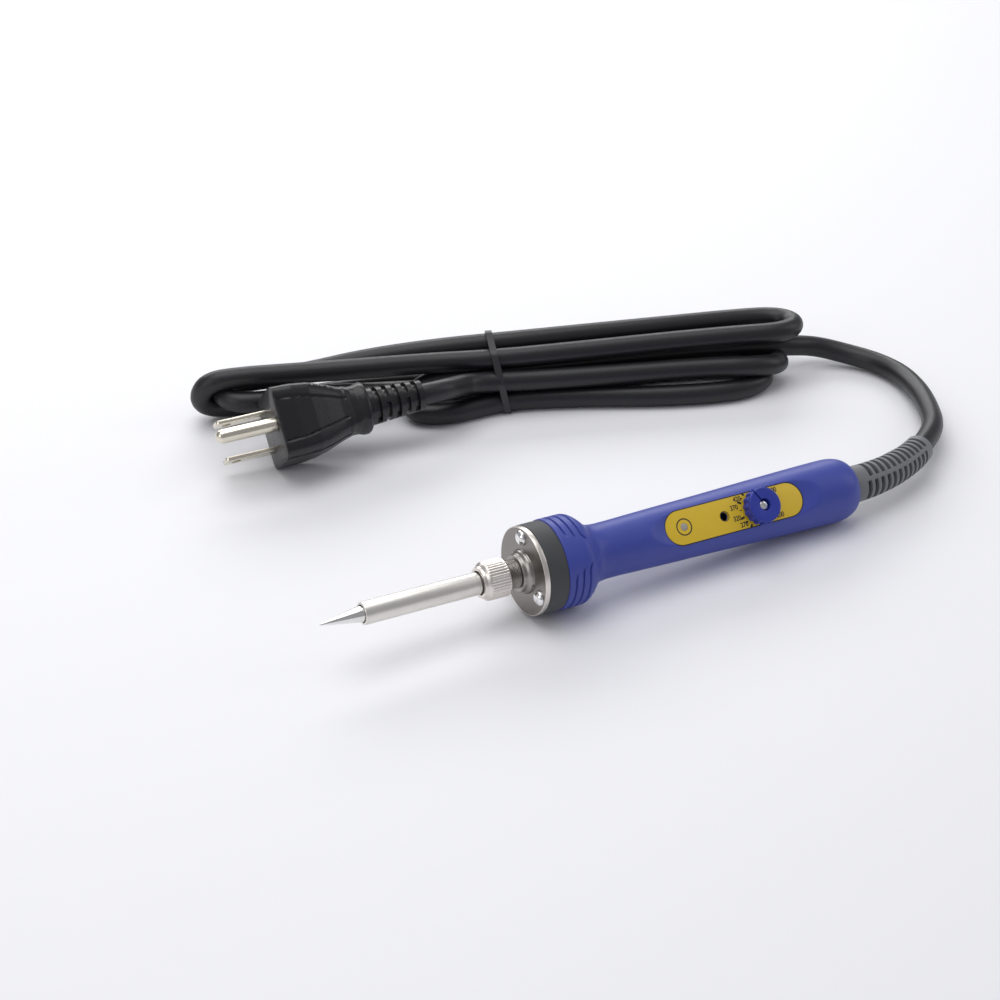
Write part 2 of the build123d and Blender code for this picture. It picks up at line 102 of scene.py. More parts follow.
# --- cord, boot, plug and hank, in millimetres ---
CORD_D = 7.4
BOOT_BEND_R = 68.0
BOOT_BEND = 32.0
DIAL_ROLL = 49.8
PLUG_BODY_Y = 4.6
GROUND_OFFSET = 11.9
BLADE_PITCH = 12.7
HANK_CENTRE = (11.2, 122.0)
HANK_ANGLE = -21.5


# ------------------------------------------------------------------ places taken from the frame

def unit(vector):
    """The vector at length one."""
    return np.asarray(vector, float) / np.linalg.norm(vector)


def placement(x_axis, z_axis, origin):
    """4x4 matrix from a piece's millimetres to metres in the frame."""
    x_axis = unit(x_axis)
    z_axis = unit(z_axis - x_axis * np.dot(x_axis, z_axis))
    matrix = np.eye(4)
    matrix[:3, :3] = np.stack([x_axis, np.cross(z_axis, x_axis), z_axis], 1) * MM
    matrix[:3, 3] = origin
    return matrix


def turn(axis, degrees, at=(0.0, 0.0, 0.0)):
    """4x4 rotation about an axis through a point, in a piece's own millimetres."""
    spin = Matrix.Translation(at) @ Matrix.Rotation(np.radians(degrees), 4, axis)
    return np.array(spin @ Matrix.Translation(-Vector(at)))


def shift(x, y, z):
    """4x4 move in a piece's own millimetres."""
    return np.array(Matrix.Translation((x, y, z)))


joints = {joint["name"]: joint for joint in frame["joints"]}
mounts = {mount["name"]: mount for mount in frame["record"]["mounts"]}
to_rear = -unit(joints["nut_turn"]["axis"])
nut_middle = np.array(joints["nut_turn"]["pos_m"])
plate_face = nut_middle - to_rear * (NUT_FRONT_X + NUT_REAR_X) / 2 * MM
IRON = placement(to_rear, np.array(joints["knob_turn"]["axis"]), plate_face)
UPRIGHT = IRON @ turn("X", -DIAL_ROLL)
DIAL = IRON @ shift(LABEL_X, 0, LABEL_H) @ turn("Y", -LABEL_SLOPE)
plug_face = np.array(mounts["plug_blades"]["pos_m"])
along_pins = unit(mounts["plug_blades"]["axis"])
to_ground = np.array(mounts["earth_pin"]["pos_m"]) - plug_face
to_ground = unit(to_ground - along_pins * np.dot(along_pins, to_ground))
PLUG = placement(along_pins, np.cross(along_pins, to_ground), plug_face)


# ------------------------------------------------------------------ camera and studio

VIEW_AZIMUTH = -29.0023
VIEW_ELEVATION = 31.03
VIEW_DISTANCE = 0.7659
VIEW_AIM = (-0.0213, 0.06153, 0.0)
LENS_MM = 83.8


def make_camera():
    """Camera on a sphere round its aim, from an azimuth, an elevation and a distance."""
    azimuth = np.radians(VIEW_AZIMUTH)
    elevation = np.radians(VIEW_ELEVATION)
    level = np.cos(elevation)
    towards = Vector((np.sin(azimuth) * level, -np.cos(azimuth) * level, np.sin(elevation)))
    camera = bpy.data.objects.new("camera", bpy.data.cameras.new("camera"))
    camera.data.lens = LENS_MM
    camera.data.sensor_width = 36.0
    camera.data.clip_start = 0.02
    camera.location = Vector(VIEW_AIM) + towards * VIEW_DISTANCE
    camera.rotation_euler = towards.to_track_quat("Z", "Y").to_euler()
    bpy.context.scene.collection.objects.link(camera)
    bpy.context.scene.camera = camera


def area_light(name, location, aim, size, power, colour=(1.0, 1.0, 1.0)):
    """Rectangular soft box turned to its aim."""
    light = bpy.data.objects.new(name, bpy.data.lights.new(name, "AREA"))
    light.data.shape = "RECTANGLE"
    light.data.size, light.data.size_y = size
    light.data.energy = power
    light.data.color = colour
    light.location = location
    light.rotation_euler = (Vector(location) - Vector(aim)).to_track_quat("Z", "Y").to_euler()
    bpy.context.scene.collection.objects.link(light)


def make_studio():
    """Pale floor under large soft boxes: one overhead, one behind and one at the left."""
    scene = bpy.context.scene
    world = bpy.data.worlds.new("studio_air")
    world.use_nodes = True
    world.node_tree.nodes["Background"].inputs["Color"].default_value = (0.94, 0.945, 1.0, 1.0)
    world.node_tree.nodes["Background"].inputs["Strength"].default_value = 0.34
    scene.world = world
    scene.view_settings.view_transform = "Standard"
    area_light("overhead_box", (-0.10, 0.22, 1.05), (0.0, 0.08, 0.0), (1.1, 0.9), 6.3)
    area_light("rear_box", (0.30, 1.15, 0.62), (0.02, 0.08, 0.0), (1.5, 0.5), 8.2)
    area_light("left_box", (-0.95, -0.15, 0.50), (0.0, 0.05, 0.0), (0.5, 0.7), 1.5)
    area_light("right_box", (0.85, -0.25, 0.55), (0.05, 0.05, 0.0), (0.4, 0.7), 1.2)
    floor = bpy.data.meshes.new("floor")
    half = 4.0
    corners = [(-half, -half, 0), (half, -half, 0), (half, half, 0), (-half, half, 0)]
    floor.from_pydata(corners, [], [(0, 1, 2, 3)])
    board = bpy.data.objects.new("floor", floor)
    scene.collection.objects.link(board)
    board.data.materials.append(floor_paper())


# ------------------------------------------------------------------ material building

def new_material(name):
    """Empty node material with its Principled shader, returned as (material, nodes, links, shader)."""
    material = bpy.data.materials.new(name)
    material.use_nodes = True
    tree = material.node_tree
    return material, tree.nodes, tree.links, tree.nodes["Principled BSDF"]


def group_sockets(group, inputs, outputs):
    """Adds named sockets: inputs as (name, type, default) and outputs as (name, type)."""
    for name, kind, value in inputs:
        socket = group.interface.new_socket(name, in_out="INPUT", socket_type=kind)
        socket.default_value = value
    for name, kind in outputs:
        group.interface.new_socket(name, in_out="OUTPUT", socket_type=kind)


def centred(nodes, links, value):
    """A noise value less its middle, so that it swings about zero."""
    less = nodes.new("ShaderNodeMath")
    less.operation = "SUBTRACT"
    less.inputs[1].default_value = 0.5
    links.new(value, less.inputs[0])
    return less.outputs[0]


def swing_about_one(nodes, links, value, amount):
    """One plus a centred value times an amount."""
    swing = nodes.new("ShaderNodeMath")
    swing.operation = "MULTIPLY_ADD"
    swing.inputs[2].default_value = 1.0
    links.new(value, swing.inputs[0])
    links.new(amount, swing.inputs[1])
    return swing.outputs[0]


def scaled_colour(nodes, links, colour, factor):
    """A colour times a factor."""
    scale = nodes.new("ShaderNodeVectorMath")
    scale.operation = "SCALE"
    links.new(colour, scale.inputs[0])
    links.new(factor, scale.inputs["Scale"])
    return scale.outputs[0]


def surface_variation_group():
    """Mottle and fine grain from object coordinates.

    Base is darkened or lightened by a slow noise, and Roughness is moved by a fine one. Height is the
    fine grain, for a Bump node.
    """
    group = bpy.data.node_groups.new("surface_variation", "ShaderNodeTree")
    group_sockets(
        group,
        (
            ("Base", "NodeSocketColor", (0.5, 0.5, 0.5, 1.0)),
            ("Mottle", "NodeSocketFloat", 0.1),
            ("Mottle Scale", "NodeSocketFloat", 120.0),
            ("Grain Scale", "NodeSocketFloat", 3000.0),
            ("Roughness", "NodeSocketFloat", 0.5),
            ("Roughness Spread", "NodeSocketFloat", 0.08),
        ),
        (("Color", "NodeSocketColor"), ("Roughness", "NodeSocketFloat"), ("Height", "NodeSocketFloat")),
    )
    nodes, links = group.nodes, group.links
    entry = nodes.new("NodeGroupInput")
    exit_node = nodes.new("NodeGroupOutput")
    place = nodes.new("ShaderNodeTexCoord")
    slow = nodes.new("ShaderNodeTexNoise")
    slow.inputs["Detail"].default_value = 5.0
    fine = nodes.new("ShaderNodeTexNoise")
    fine.inputs["Detail"].default_value = 3.0
    links.new(place.outputs["Object"], slow.inputs["Vector"])
    links.new(place.outputs["Object"], fine.inputs["Vector"])
    links.new(entry.outputs["Mottle Scale"], slow.inputs["Scale"])
    links.new(entry.outputs["Grain Scale"], fine.inputs["Scale"])
    strength = swing_about_one(nodes, links, centred(nodes, links, slow.outputs["Fac"]), entry.outputs["Mottle"])
    links.new(scaled_colour(nodes, links, entry.outputs["Base"], strength), exit_node.inputs["Color"])
    rough = nodes.new("ShaderNodeMath")
    rough.operation = "MULTIPLY_ADD"
    links.new(centred(nodes, links, fine.outputs["Fac"]), rough.inputs[0])
    links.new(entry.outputs["Roughness Spread"], rough.inputs[1])
    links.new(entry.outputs["Roughness"], rough.inputs[2])
    links.new(rough.outputs[0], exit_node.inputs["Roughness"])
    links.new(fine.outputs["Fac"], exit_node.inputs["Height"])
    return group


def turned_marks_group():
    """Fine machining lines from a piece's UV map: noise stretched round the piece.

    Height is the lines, for a Bump node, and Shade is a value near 1 that follows them.
    """
    group = bpy.data.node_groups.new("turned_marks", "ShaderNodeTree")
    group_sockets(
        group,
        (("Along", "NodeSocketFloat", 60.0), ("Around", "NodeSocketFloat", 2.0), ("Depth", "NodeSocketFloat", 0.1)),
        (("Height", "NodeSocketFloat"), ("Shade", "NodeSocketFloat")),
    )
    nodes, links = group.nodes, group.links
    entry = nodes.new("NodeGroupInput")
    exit_node = nodes.new("NodeGroupOutput")
    place = nodes.new("ShaderNodeTexCoord")
    stretch = nodes.new("ShaderNodeCombineXYZ")
    links.new(entry.outputs["Around"], stretch.inputs["X"])
    links.new(entry.outputs["Along"], stretch.inputs["Y"])
    scaled = nodes.new("ShaderNodeVectorMath")
    scaled.operation = "MULTIPLY"
    links.new(place.outputs["UV"], scaled.inputs[0])
    links.new(stretch.outputs[0], scaled.inputs[1])
    lines = nodes.new("ShaderNodeTexNoise")
    lines.inputs["Scale"].default_value = 1.0
    lines.inputs["Detail"].default_value = 6.0
    lines.inputs["Roughness"].default_value = 0.7
    links.new(scaled.outputs[0], lines.inputs["Vector"])
    links.new(lines.outputs["Fac"], exit_node.inputs["Height"])
    shade = swing_about_one(nodes, links, centred(nodes, links, lines.outputs["Fac"]), entry.outputs["Depth"])
    links.new(shade, exit_node.inputs["Shade"])
    return group


VARIATION = surface_variation_group()
MARKS = turned_marks_group()


def add_bump(nodes, links, shader, height, distance):
    """Bump node of a depth in metres between a height and the shader's normal."""
    bump = nodes.new("ShaderNodeBump")
    bump.inputs["Distance"].default_value = distance
    links.new(height, bump.inputs["Height"])
    links.new(bump.outputs["Normal"], shader.inputs["Normal"])


def varied_finish(name, base, roughness, mottle=0.08, grain=3000.0, bump=0.00002, spread=0.08, metallic=0.0,
                  mottle_scale=120.0):
    """Finish with mottle and grain. Returns (material, nodes, links, shader, variation node)."""
    material, nodes, links, shader = new_material(name)
    variation = nodes.new("ShaderNodeGroup")
    variation.node_tree = VARIATION
    variation.inputs["Base"].default_value = (*base, 1.0)
    variation.inputs["Mottle"].default_value = mottle
    variation.inputs["Mottle Scale"].default_value = mottle_scale
    variation.inputs["Grain Scale"].default_value = grain
    variation.inputs["Roughness"].default_value = roughness
    variation.inputs["Roughness Spread"].default_value = spread
    links.new(variation.outputs["Color"], shader.inputs["Base Color"])
    links.new(variation.outputs["Roughness"], shader.inputs["Roughness"])
    shader.inputs["Metallic"].default_value = metallic
    add_bump(nodes, links, shader, variation.outputs["Height"], bump)
    return material, nodes, links, shader, variation


def finish(name, base, roughness, **words):
    """The material alone of a varied finish."""
    return varied_finish(name, base, roughness, **words)[0]


def turned_metal(name, base, roughness, along, around, depth, bump, mottle=0.12):
    """Metal with machining marks that follow the piece's UV map, over a slow stain."""
    material, nodes, links, shader, variation = varied_finish(
        name, base, roughness, mottle=mottle, metallic=1.0, spread=0.1, mottle_scale=260.0)
    marks = nodes.new("ShaderNodeGroup")
    marks.node_tree = MARKS
    marks.inputs["Along"].default_value = along
    marks.inputs["Around"].default_value = around
    marks.inputs["Depth"].default_value = depth
    shaded = scaled_colour(nodes, links, variation.outputs["Color"], marks.outputs["Shade"])
    links.new(shaded, shader.inputs["Base Color"])
    add_bump(nodes, links, shader, marks.outputs["Height"], bump)
    return material


def floor_paper():
    """Plain pale paper with a barely visible tone."""
    return finish("floor_paper", (0.86, 0.86, 0.885), 0.55, mottle=0.01, grain=900.0, bump=0.0)


make_camera()
make_studio()


# ------------------------------------------------------------------ cord

def on_hank(along, across, height):
    """Point of the hank in metres, from its distances along, across and above its axis."""
    angle = np.radians(HANK_ANGLE)
    x = HANK_CENTRE[0] + along * np.cos(angle) - across * np.sin(angle)
    y = HANK_CENTRE[1] + along * np.sin(angle) + across * np.cos(angle)
    return Vector((x * MM, y * MM, height * MM))


def on_bench(x, y, z):
    """Point over the bench in metres, from millimetres."""
    return Vector((x * MM, y * MM, z * MM))


def cord_route():
    """Control points of the whole cord: boot, long bend, four folds on the left and three on the right, plug."""
    route = [Vector(UPRIGHT[:3] @ np.append(boot_point(along), 1)) for along in (BOOT_LENGTH - 3, BOOT_LENGTH + 7)]
    route += [on_bench(*point) for point in (
        (125.6, 21.7, 7.9), (133.2, 34.0, 6.5), (139.8, 48.0, 5.2),
        (143.2, 62.0, 4.3), (141.5, 74.5, 3.9), (135.0, 84.6, 4.5), (125.5, 92.1, 6.8),
    )]
    route += [on_hank(*point) for point in (
        # over the lower folds to the tie
        (104, 9.6, 9.8), (86, 8.0, 10.9), (60, 6.2, 11.2), (28, 3.6, 11.2), (0, 1.0, 11.2), (-16, -0.6, 10.6),
        # short loop in front, down to the bench
        (-24, -1.0, 9.7), (-31.5, -5.5, 7.2), (-31, -13.4, 4.1), (-19, -15.0, 3.7), (-7, -10.2, 3.7),
        # front strand on the bench, and the lower right fold
        (4, -6.9, 3.7), (30, -8.0, 3.7), (54, -11.0, 3.7), (74, -11.6, 3.7),
        (88, -9.6, 3.7), (96.5, -2.6, 3.7), (94, 5.4, 3.7), (80, 7.4, 3.7),
        # back along the bench to the inner left fold
        (52, 6.8, 3.7), (24, 3.8, 3.7), (0, 1.8, 3.7), (-26, 4.2, 3.7), (-48, 1.6, 5.2), (-68, -3.8, 8.6),
        (-82, -8.0, 9.6), (-92.5, -8.6, 10.2), (-97.5, -1.2, 10.2), (-93.5, 6.6, 9.6),
        # top rear strand, and the upper right fold
        (-82, 8.2, 9.8), (-68, 7.6, 11.4), (-46, 8.0, 15.4), (-20, 5.6, 19.1), (2, 5.2, 20.2), (38, 8.6, 20.0),
        (68, 12.6, 19.2), (88, 16.6, 18.0), (103.5, 17.2, 17.8), (109.5, 9.5, 18.6), (103.5, 1.5, 19.4),
        # top front strand, and the outer left fold
        (86, 1.2, 19.3), (62, 0.8, 18.7), (32, -0.6, 18.0), (0, -2.6, 17.7), (-25, -1.7, 17.4),
        (-51, -3.0, 17.5), (-74, -2.6, 17.0), (-90, -3.6, 17.3), (-101.3, -4.0, 16.4), (-104.8, -1.8, 8.8),
        (-100.5, 0.6, 3.8),
        # rear strand on the bench, and the middle right fold
        (-86, 2.0, 3.7), (-66, 5.4, 3.7), (-46, 9.2, 3.7), (-24, 11.6, 3.7), (0, 9.3, 3.7), (28, 11.6, 3.7),
        (56, 14.6, 3.8), (78, 15.2, 3.8), (93, 14.8, 4.0), (103.5, 7.0, 5.4), (99.5, -4.5, 9.8), (88, -7.2, 11.2),
        # middle front strand to the tie
        (72, -6.3, 11.2), (36, -7.2, 11.2), (6, -7.4, 11.2),
    )]
    route += [on_bench(*point) for point in (
        (-1.5, 117.4, 12.4), (-10.0, 113.4, 15.0), (-18.2, 109.0, 17.7), (-29.3, 110.3, 17.3),
    )]
    return route


def make_cord(sheath):
    """Whole mains cord as one open spline."""
    curve = bpy.data.curves.new("mains_cord", "CURVE")
    curve.dimensions = "3D"
    curve.bevel_depth = CORD_D / 2 * MM
    curve.bevel_resolution = 8
    curve.resolution_u = 10
    curve.use_fill_caps = True
    spline = curve.splines.new("NURBS")
    route = cord_route()
    spline.points.add(len(route) - 1)
    for point, place in zip(spline.points, route):
        point.co = (*place, 1.0)
    spline.order_u = 3
    spline.use_endpoint_u = True
    cord = bpy.data.objects.new("mains_cord", curve)
    bpy.context.scene.collection.objects.link(cord)
    curve.materials.append(sheath)
    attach(cord, "handle")
    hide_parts("power_cord", "plug_lead", "cord_hank")
    return cord, route


# ------------------------------------------------------------------ mesh building

def grid_faces(rows, columns):
    """Quads of a grid that is closed around its columns, and the (row, column) of each corner."""
    i, j = np.meshgrid(np.arange(rows - 1), np.arange(columns), indexing="ij")
    corners = np.stack([np.stack(pair, -1) for pair in ((i, j), (i, j + 1), (i + 1, j + 1), (i + 1, j))], 2)
    corners = corners.reshape(-1, 4, 2)
    return corners[..., 0] * columns + corners[..., 1] % columns, corners


def add_piece(name, mesh, material, body, nodes, sharp=38.0):
    """Object of a finished mesh with its material, parented to its body's empty; the CAD nodes it replaces are
    hidden.
    """
    shell = bmesh.new()
    shell.from_mesh(mesh)
    bmesh.ops.remove_doubles(shell, verts=shell.verts, dist=2e-7)
    bmesh.ops.recalc_face_normals(shell, faces=shell.faces)
    shell.to_mesh(mesh)
    shell.free()
    mesh.shade_smooth()
    mesh.set_sharp_from_angle(angle=np.radians(sharp))
    mesh.materials.clear()
    mesh.materials.append(material)
    piece = bpy.data.objects.new(name, mesh)
    bpy.context.scene.collection.objects.link(piece)
    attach(piece, body)
    if nodes:
        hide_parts(*nodes)
    return piece


def placed_mesh(name, points, faces, matrix):
    """Mesh of points in a piece's millimetres, taken to metres by its placement."""
    points = np.asarray(points, float).reshape(-1, 3)
    mesh = bpy.data.meshes.new(name)
    placed = points @ matrix[:3, :3].T + matrix[:3, 3]
    mesh.from_pydata(placed.tolist(), [], [list(map(int, face)) for face in faces])
    return mesh


def grid_mesh(name, points, matrix):
    """Mesh of a (rows, columns, 3) grid closed around its columns, with u around and v along in centimetres."""
    rows, columns = points.shape[:2]
    faces, corners = grid_faces(rows, columns)
    mesh = placed_mesh(name, points, faces, matrix)
    steps = np.linalg.norm(np.diff(points[:, 0], axis=0), axis=1)
    along = np.concatenate([[0], np.cumsum(steps)]) / 10
    uv = np.stack([corners[..., 1] / columns, along[corners[..., 0]]], -1)
    mesh.uv_layers.new(name="UVMap").data.foreach_set("uv", uv.ravel())
    return mesh


def rounded(corners, steps=5):
    """Outline of (x, radius, rounding) corners, each rounded by a quadratic curve."""
    corners = np.asarray(corners, float)
    outline = [corners[0, :2]]
    for before, corner, after in zip(corners[:-2], corners[1:-1], corners[2:]):
        middle = corner[:2]
        if corner[2] <= 0:
            outline.append(middle)
            continue
        start = middle + unit(before[:2] - middle) * corner[2]
        end = middle + unit(after[:2] - middle) * corner[2]
        for t in np.linspace(0, 1, steps):
            outline.append((1 - t) ** 2 * start + 2 * t * (1 - t) * middle + t ** 2 * end)
    outline.append(corners[-1, :2])
    return np.array(outline)


def turned_points(outline, columns=96, radius=None):
    """Grid of points round the X axis; radius is (rows, columns), or comes from the outline."""
    angle = np.arange(columns) * TAU / columns
    x = np.repeat(outline[:, :1], columns, 1)
    if radius is None:
        radius = np.repeat(outline[:, 1:2], columns, 1)
    return np.stack([x, radius * np.sin(angle), radius * np.cos(angle)], -1)


def smooth_step(low, high, value):
    """Cubic step from 0 at low to 1 at high."""
    t = np.clip((value - low) / (high - low), 0, 1)
    return t * t * (3 - 2 * t)


def upright(points):
    """The same points with their X axis turned to +Z."""
    return np.stack([-points[..., 2], points[..., 1], points[..., 0]], -1)


def prism_mesh(name, outline, low, high, matrix, bevel=0.0):
    """Upright prism of an (x, y) outline between two heights, with bevelled rims."""
    outline = np.asarray(outline, float)
    count = len(outline)
    bottom = np.column_stack([outline, np.full(count, low)])
    top = np.column_stack([outline, np.full(count, high)])
    sides = [(i, (i + 1) % count, count + (i + 1) % count, count + i) for i in range(count)]
    faces = [tuple(range(count))[::-1], tuple(range(count, 2 * count)), *sides]
    mesh = placed_mesh(name, np.concatenate([bottom, top]), faces, matrix)
    if bevel > 0:
        shell = bmesh.new()
        shell.from_mesh(mesh)
        bmesh.ops.recalc_face_normals(shell, faces=shell.faces)
        rims = [edge for edge in shell.edges if edge.calc_face_angle(0) > np.radians(50)]
        bmesh.ops.bevel(shell, geom=rims, offset=bevel * MM, segments=3, affect="EDGES", profile=0.5,
                        clamp_overlap=True)
        shell.to_mesh(mesh)
        shell.free()
    return mesh


def stadium(length, width, steps=28):
    """Outline of a slot shape along X."""
    half = length / 2 - width / 2
    turns = np.linspace(-np.pi / 2, np.pi / 2, steps)
    right = np.stack([half + width / 2 * np.cos(turns), width / 2 * np.sin(turns)], 1)
    return np.concatenate([right, -right])


def disc(radius, steps=48, x=0.0, y=0.0):
    """Outline of a circle."""
    turns = np.arange(steps) * TAU / steps
    return np.stack([x + radius * np.cos(turns), y + radius * np.sin(turns)], 1)


def box_outline(x0, x1, y0, y1):
    """Outline of a rectangle."""
    return [(x0, y0), (x1, y0), (x1, y1), (x0, y1)]


def carved(mesh, cutters):
    """Mesh with the given closed meshes cut out of it."""
    host = bpy.data.objects.new("host", mesh)
    bpy.context.scene.collection.objects.link(host)
    knives = []
    for cutter in cutters:
        knife = bpy.data.objects.new("knife", cutter)
        bpy.context.scene.collection.objects.link(knife)
        cut = host.modifiers.new("cut", "BOOLEAN")
        cut.operation = "DIFFERENCE"
        cut.solver = "EXACT"
        cut.object = knife
        knives.append(knife)
    result = bpy.data.meshes.new_from_object(host.evaluated_get(bpy.context.evaluated_depsgraph_get()))
    result.name = mesh.name
    for helper in [host, *knives]:
        bpy.data.objects.remove(helper)
    return result


# ------------------------------------------------------------------ finishes

def handle_plastic():
    """Blue moulded nylon: satin, a fine spark texture and a faint mottle."""
    material, _, _, shader, _ = varied_finish(
        "blue_nylon", (0.044, 0.064, 0.345), 0.42, mottle=0.10, grain=2600.0, bump=0.00003, mottle_scale=90.0)
    shader.inputs["Specular IOR Level"].default_value = 0.45
    return material


def flexible_rubber(name, base, roughness):
    """Dull moulded rubber, with a painted sheen: its colour is lightened where its surface is seen edge-on."""
    material, nodes, links, shader, variation = varied_finish(
        name, base, roughness, mottle=0.16, grain=3600.0, bump=0.00005, mottle_scale=160.0)
    # Painted sheen: the base colour is mixed towards a lighter one where the surface faces away from the view.
    rim = nodes.new("ShaderNodeLayerWeight")
    rim.inputs["Blend"].default_value = 0.18
    edge_sheen = nodes.new("ShaderNodeMix")
    edge_sheen.data_type = "RGBA"
    edge_sheen.inputs["B"].default_value = (*(min(1.0, value * 1.7 + 0.012) for value in base), 1.0)
    links.new(rim.outputs["Facing"], edge_sheen.inputs["Factor"])
    links.new(variation.outputs["Color"], edge_sheen.inputs["A"])
    links.new(edge_sheen.outputs["Result"], shader.inputs["Base Color"])
    return material


def cord_sheath():
    """Black vinyl jacket: satin, with lengthwise scuffs and slight waviness."""
    material, _, _, shader, _ = varied_finish(
        "cord_vinyl", (0.0095, 0.0095, 0.0115), 0.40, mottle=0.35, grain=1500.0, bump=0.00006, spread=0.16,
        mottle_scale=70.0)
    shader.inputs["Specular IOR Level"].default_value = 0.5
    return material


def label_film():
    """Yellow printed film, evenly coloured with a slight silk texture."""
    material, _, _, shader, _ = varied_finish(
        "label_film", (0.70, 0.475, 0.022), 0.42, mottle=0.07, grain=4200.0, bump=0.000012, mottle_scale=300.0)
    shader.inputs["Coat Weight"].default_value = 0.15
    shader.inputs["Coat Roughness"].default_value = 0.25
    return material


BLUE = handle_plastic()
KNOB_BLUE = finish("knob_blue", (0.020, 0.036, 0.315), 0.33, mottle=0.08, grain=2200.0, bump=0.00002)
PLATE_METAL = turned_metal("plate_metal", (0.27, 0.252, 0.235), 0.33, 55.0, 3.0, 0.30, 0.00002)
NIPPLE_METAL = turned_metal("nipple_metal", (0.37, 0.348, 0.325), 0.32, 40.0, 3.0, 0.30, 0.000015)
NUT_METAL = turned_metal("nut_metal", (0.80, 0.75, 0.70), 0.30, 30.0, 14.0, 0.22, 0.000015)
PIPE_METAL = turned_metal("pipe_metal", (0.80, 0.775, 0.73), 0.38, 26.0, 2.5, 0.16, 0.000008)
TIP_METAL = turned_metal("tip_metal", (0.86, 0.85, 0.83), 0.18, 20.0, 2.0, 0.08, 0.000004)
CHROME = turned_metal("screw_chrome", (0.88, 0.88, 0.88), 0.14, 8.0, 4.0, 0.06, 0.000004)
PIN_METAL = turned_metal("pin_metal", (0.78, 0.73, 0.62), 0.22, 12.0, 4.0, 0.14, 0.000006)
RING_RUBBER = flexible_rubber("ring_rubber", (0.048, 0.050, 0.053), 0.60)
BOOT_RUBBER = flexible_rubber("boot_rubber", (0.150, 0.155, 0.165), 0.55)
CORD_VINYL = cord_sheath()
PLUG_VINYL = finish("plug_vinyl", (0.0065, 0.0065, 0.0078), 0.30, mottle=0.3, grain=1800.0, bump=0.00004,
                    spread=0.12)
# Finish of the core seen through the boot's slots: the cord's own black, made darker and duller as painted shade in
# the slots.
SLOT_SHADE = finish("slot_shade", (0.0035, 0.0035, 0.004), 0.75, mottle=0.2)
TIE_PLASTIC = finish("tie_plastic", (0.020, 0.020, 0.023), 0.30, mottle=0.2, bump=0.00003)
LABEL_FILM = label_film()
LABEL_INK = finish("label_ink", (0.020, 0.016, 0.018), 0.5, mottle=0.2, bump=0.00001)
LENS = finish("lamp_lens", (0.36, 0.33, 0.29), 0.22, mottle=0.15, bump=0.00002)
CERAMIC = finish("white_ceramic", (0.72, 0.70, 0.65), 0.5, mottle=0.1)
BOARD = finish("board_green", (0.010, 0.075, 0.030), 0.35, mottle=0.25, mottle_scale=400.0)
DARK_PLASTIC = finish("dark_plastic", (0.018, 0.018, 0.020), 0.45, mottle=0.2)
TRIMMER_BLUE = finish("trimmer_blue", (0.02, 0.05, 0.30), 0.4)
CAPACITOR_RED = finish("capacitor_red", (0.30, 0.035, 0.02), 0.3)
RESISTOR_TAN = finish("resistor_tan", (0.42, 0.28, 0.15), 0.5)
WIRE_SLEEVE = finish("wire_sleeve", (0.62, 0.60, 0.52), 0.6)
CORE_VINYL = finish("core_vinyl", (0.35, 0.34, 0.32), 0.5)
SPRING_STEEL = finish("spring_steel", (0.62, 0.60, 0.58), 0.3, metallic=1.0)


# ------------------------------------------------------------------ handle and heat ring

GROOVES = ((10.4, 22.0, 0.7), (12.9, 16.5, 0.9), (15.3, 12.0, 1.9))
GROOVE_HALF_W = 0.36
GROOVE_DEPTH = 0.62


def grip_outline():
    """Outside of the handle: rounded flange, concave neck, slow swell, and a round rear shoulder."""
    knots = np.array([(FLANGE_REAR_X - 1.2, FLANGE_R), (FLANGE_REAR_X + 0.6, FLANGE_R - 0.22), (19.4, 12.0),
                      (21.4, 10.05), (23.3, 9.16), (WAIST_X, 8.80), (29.5, 8.72), (36, 8.84), (45, 9.05),
                      (65, 9.45), (85, 9.95), (105, 10.34), (HANDLE_REAR_X, HANDLE_R)])
    slopes = np.gradient(knots[:, 1], knots[:, 0])
    slopes[0] = 0
    slopes[-1] = 0
    x = np.concatenate([np.arange(FLANGE_REAR_X - 1.2, WAIST_X, 0.12), np.arange(WAIST_X, HANDLE_REAR_X, 0.9),
                        [HANDLE_REAR_X]])
    span = np.clip(np.searchsorted(knots[:, 0], x, "right") - 1, 0, len(knots) - 2)
    width = knots[span + 1, 0] - knots[span, 0]
    t = (x - knots[span, 0]) / width
    radius = ((2 * t ** 3 - 3 * t ** 2 + 1) * knots[span, 1] + (t ** 3 - 2 * t ** 2 + t) * width * slopes[span]
              + (3 * t ** 2 - 2 * t ** 3) * knots[span + 1, 1] + (t ** 3 - t ** 2) * width * slopes[span + 1])
    t = np.linspace(0, 1, 26)[1:, None]
    hull = np.array([(HANDLE_REAR_X, HANDLE_R), (HANDLE_REAR_X + 4.6, HANDLE_R), (HANDLE_END_X - 0.2, 9.0),
                     (HANDLE_END_X, HANDLE_END_R)])
    shoulder = ((1 - t) ** 3 * hull[0] + 3 * t * (1 - t) ** 2 * hull[1] + 3 * t ** 2 * (1 - t) * hull[2]
                + t ** 3 * hull[3])
    return np.concatenate([np.stack([x, radius], 1), shoulder])


def groove_depth(x, angle):
    """Depth of the flange's grooves at stations x and at angles from the dial's side, in degrees.

    Each groove runs from its gap to 90 degrees and back on the far side. Its station bends towards the
    neck near its end, and its width and depth fade there.
    """
    folded = np.minimum(angle, 180 - angle)
    depth = np.zeros(np.broadcast(x, angle).shape)
    for station, gap, hook in GROOVES:
        bend = 1 - np.clip((folded - gap) / 16.0, 0, 1)
        fade = smooth_step(gap - 1.0, gap + 9.0, folded)
        away = np.abs(x - station - hook * bend ** 2) / GROOVE_HALF_W
        depth = np.maximum(depth, GROOVE_DEPTH * fade * np.clip(1 - away ** 2, 0, 1) ** 0.7)
    return depth


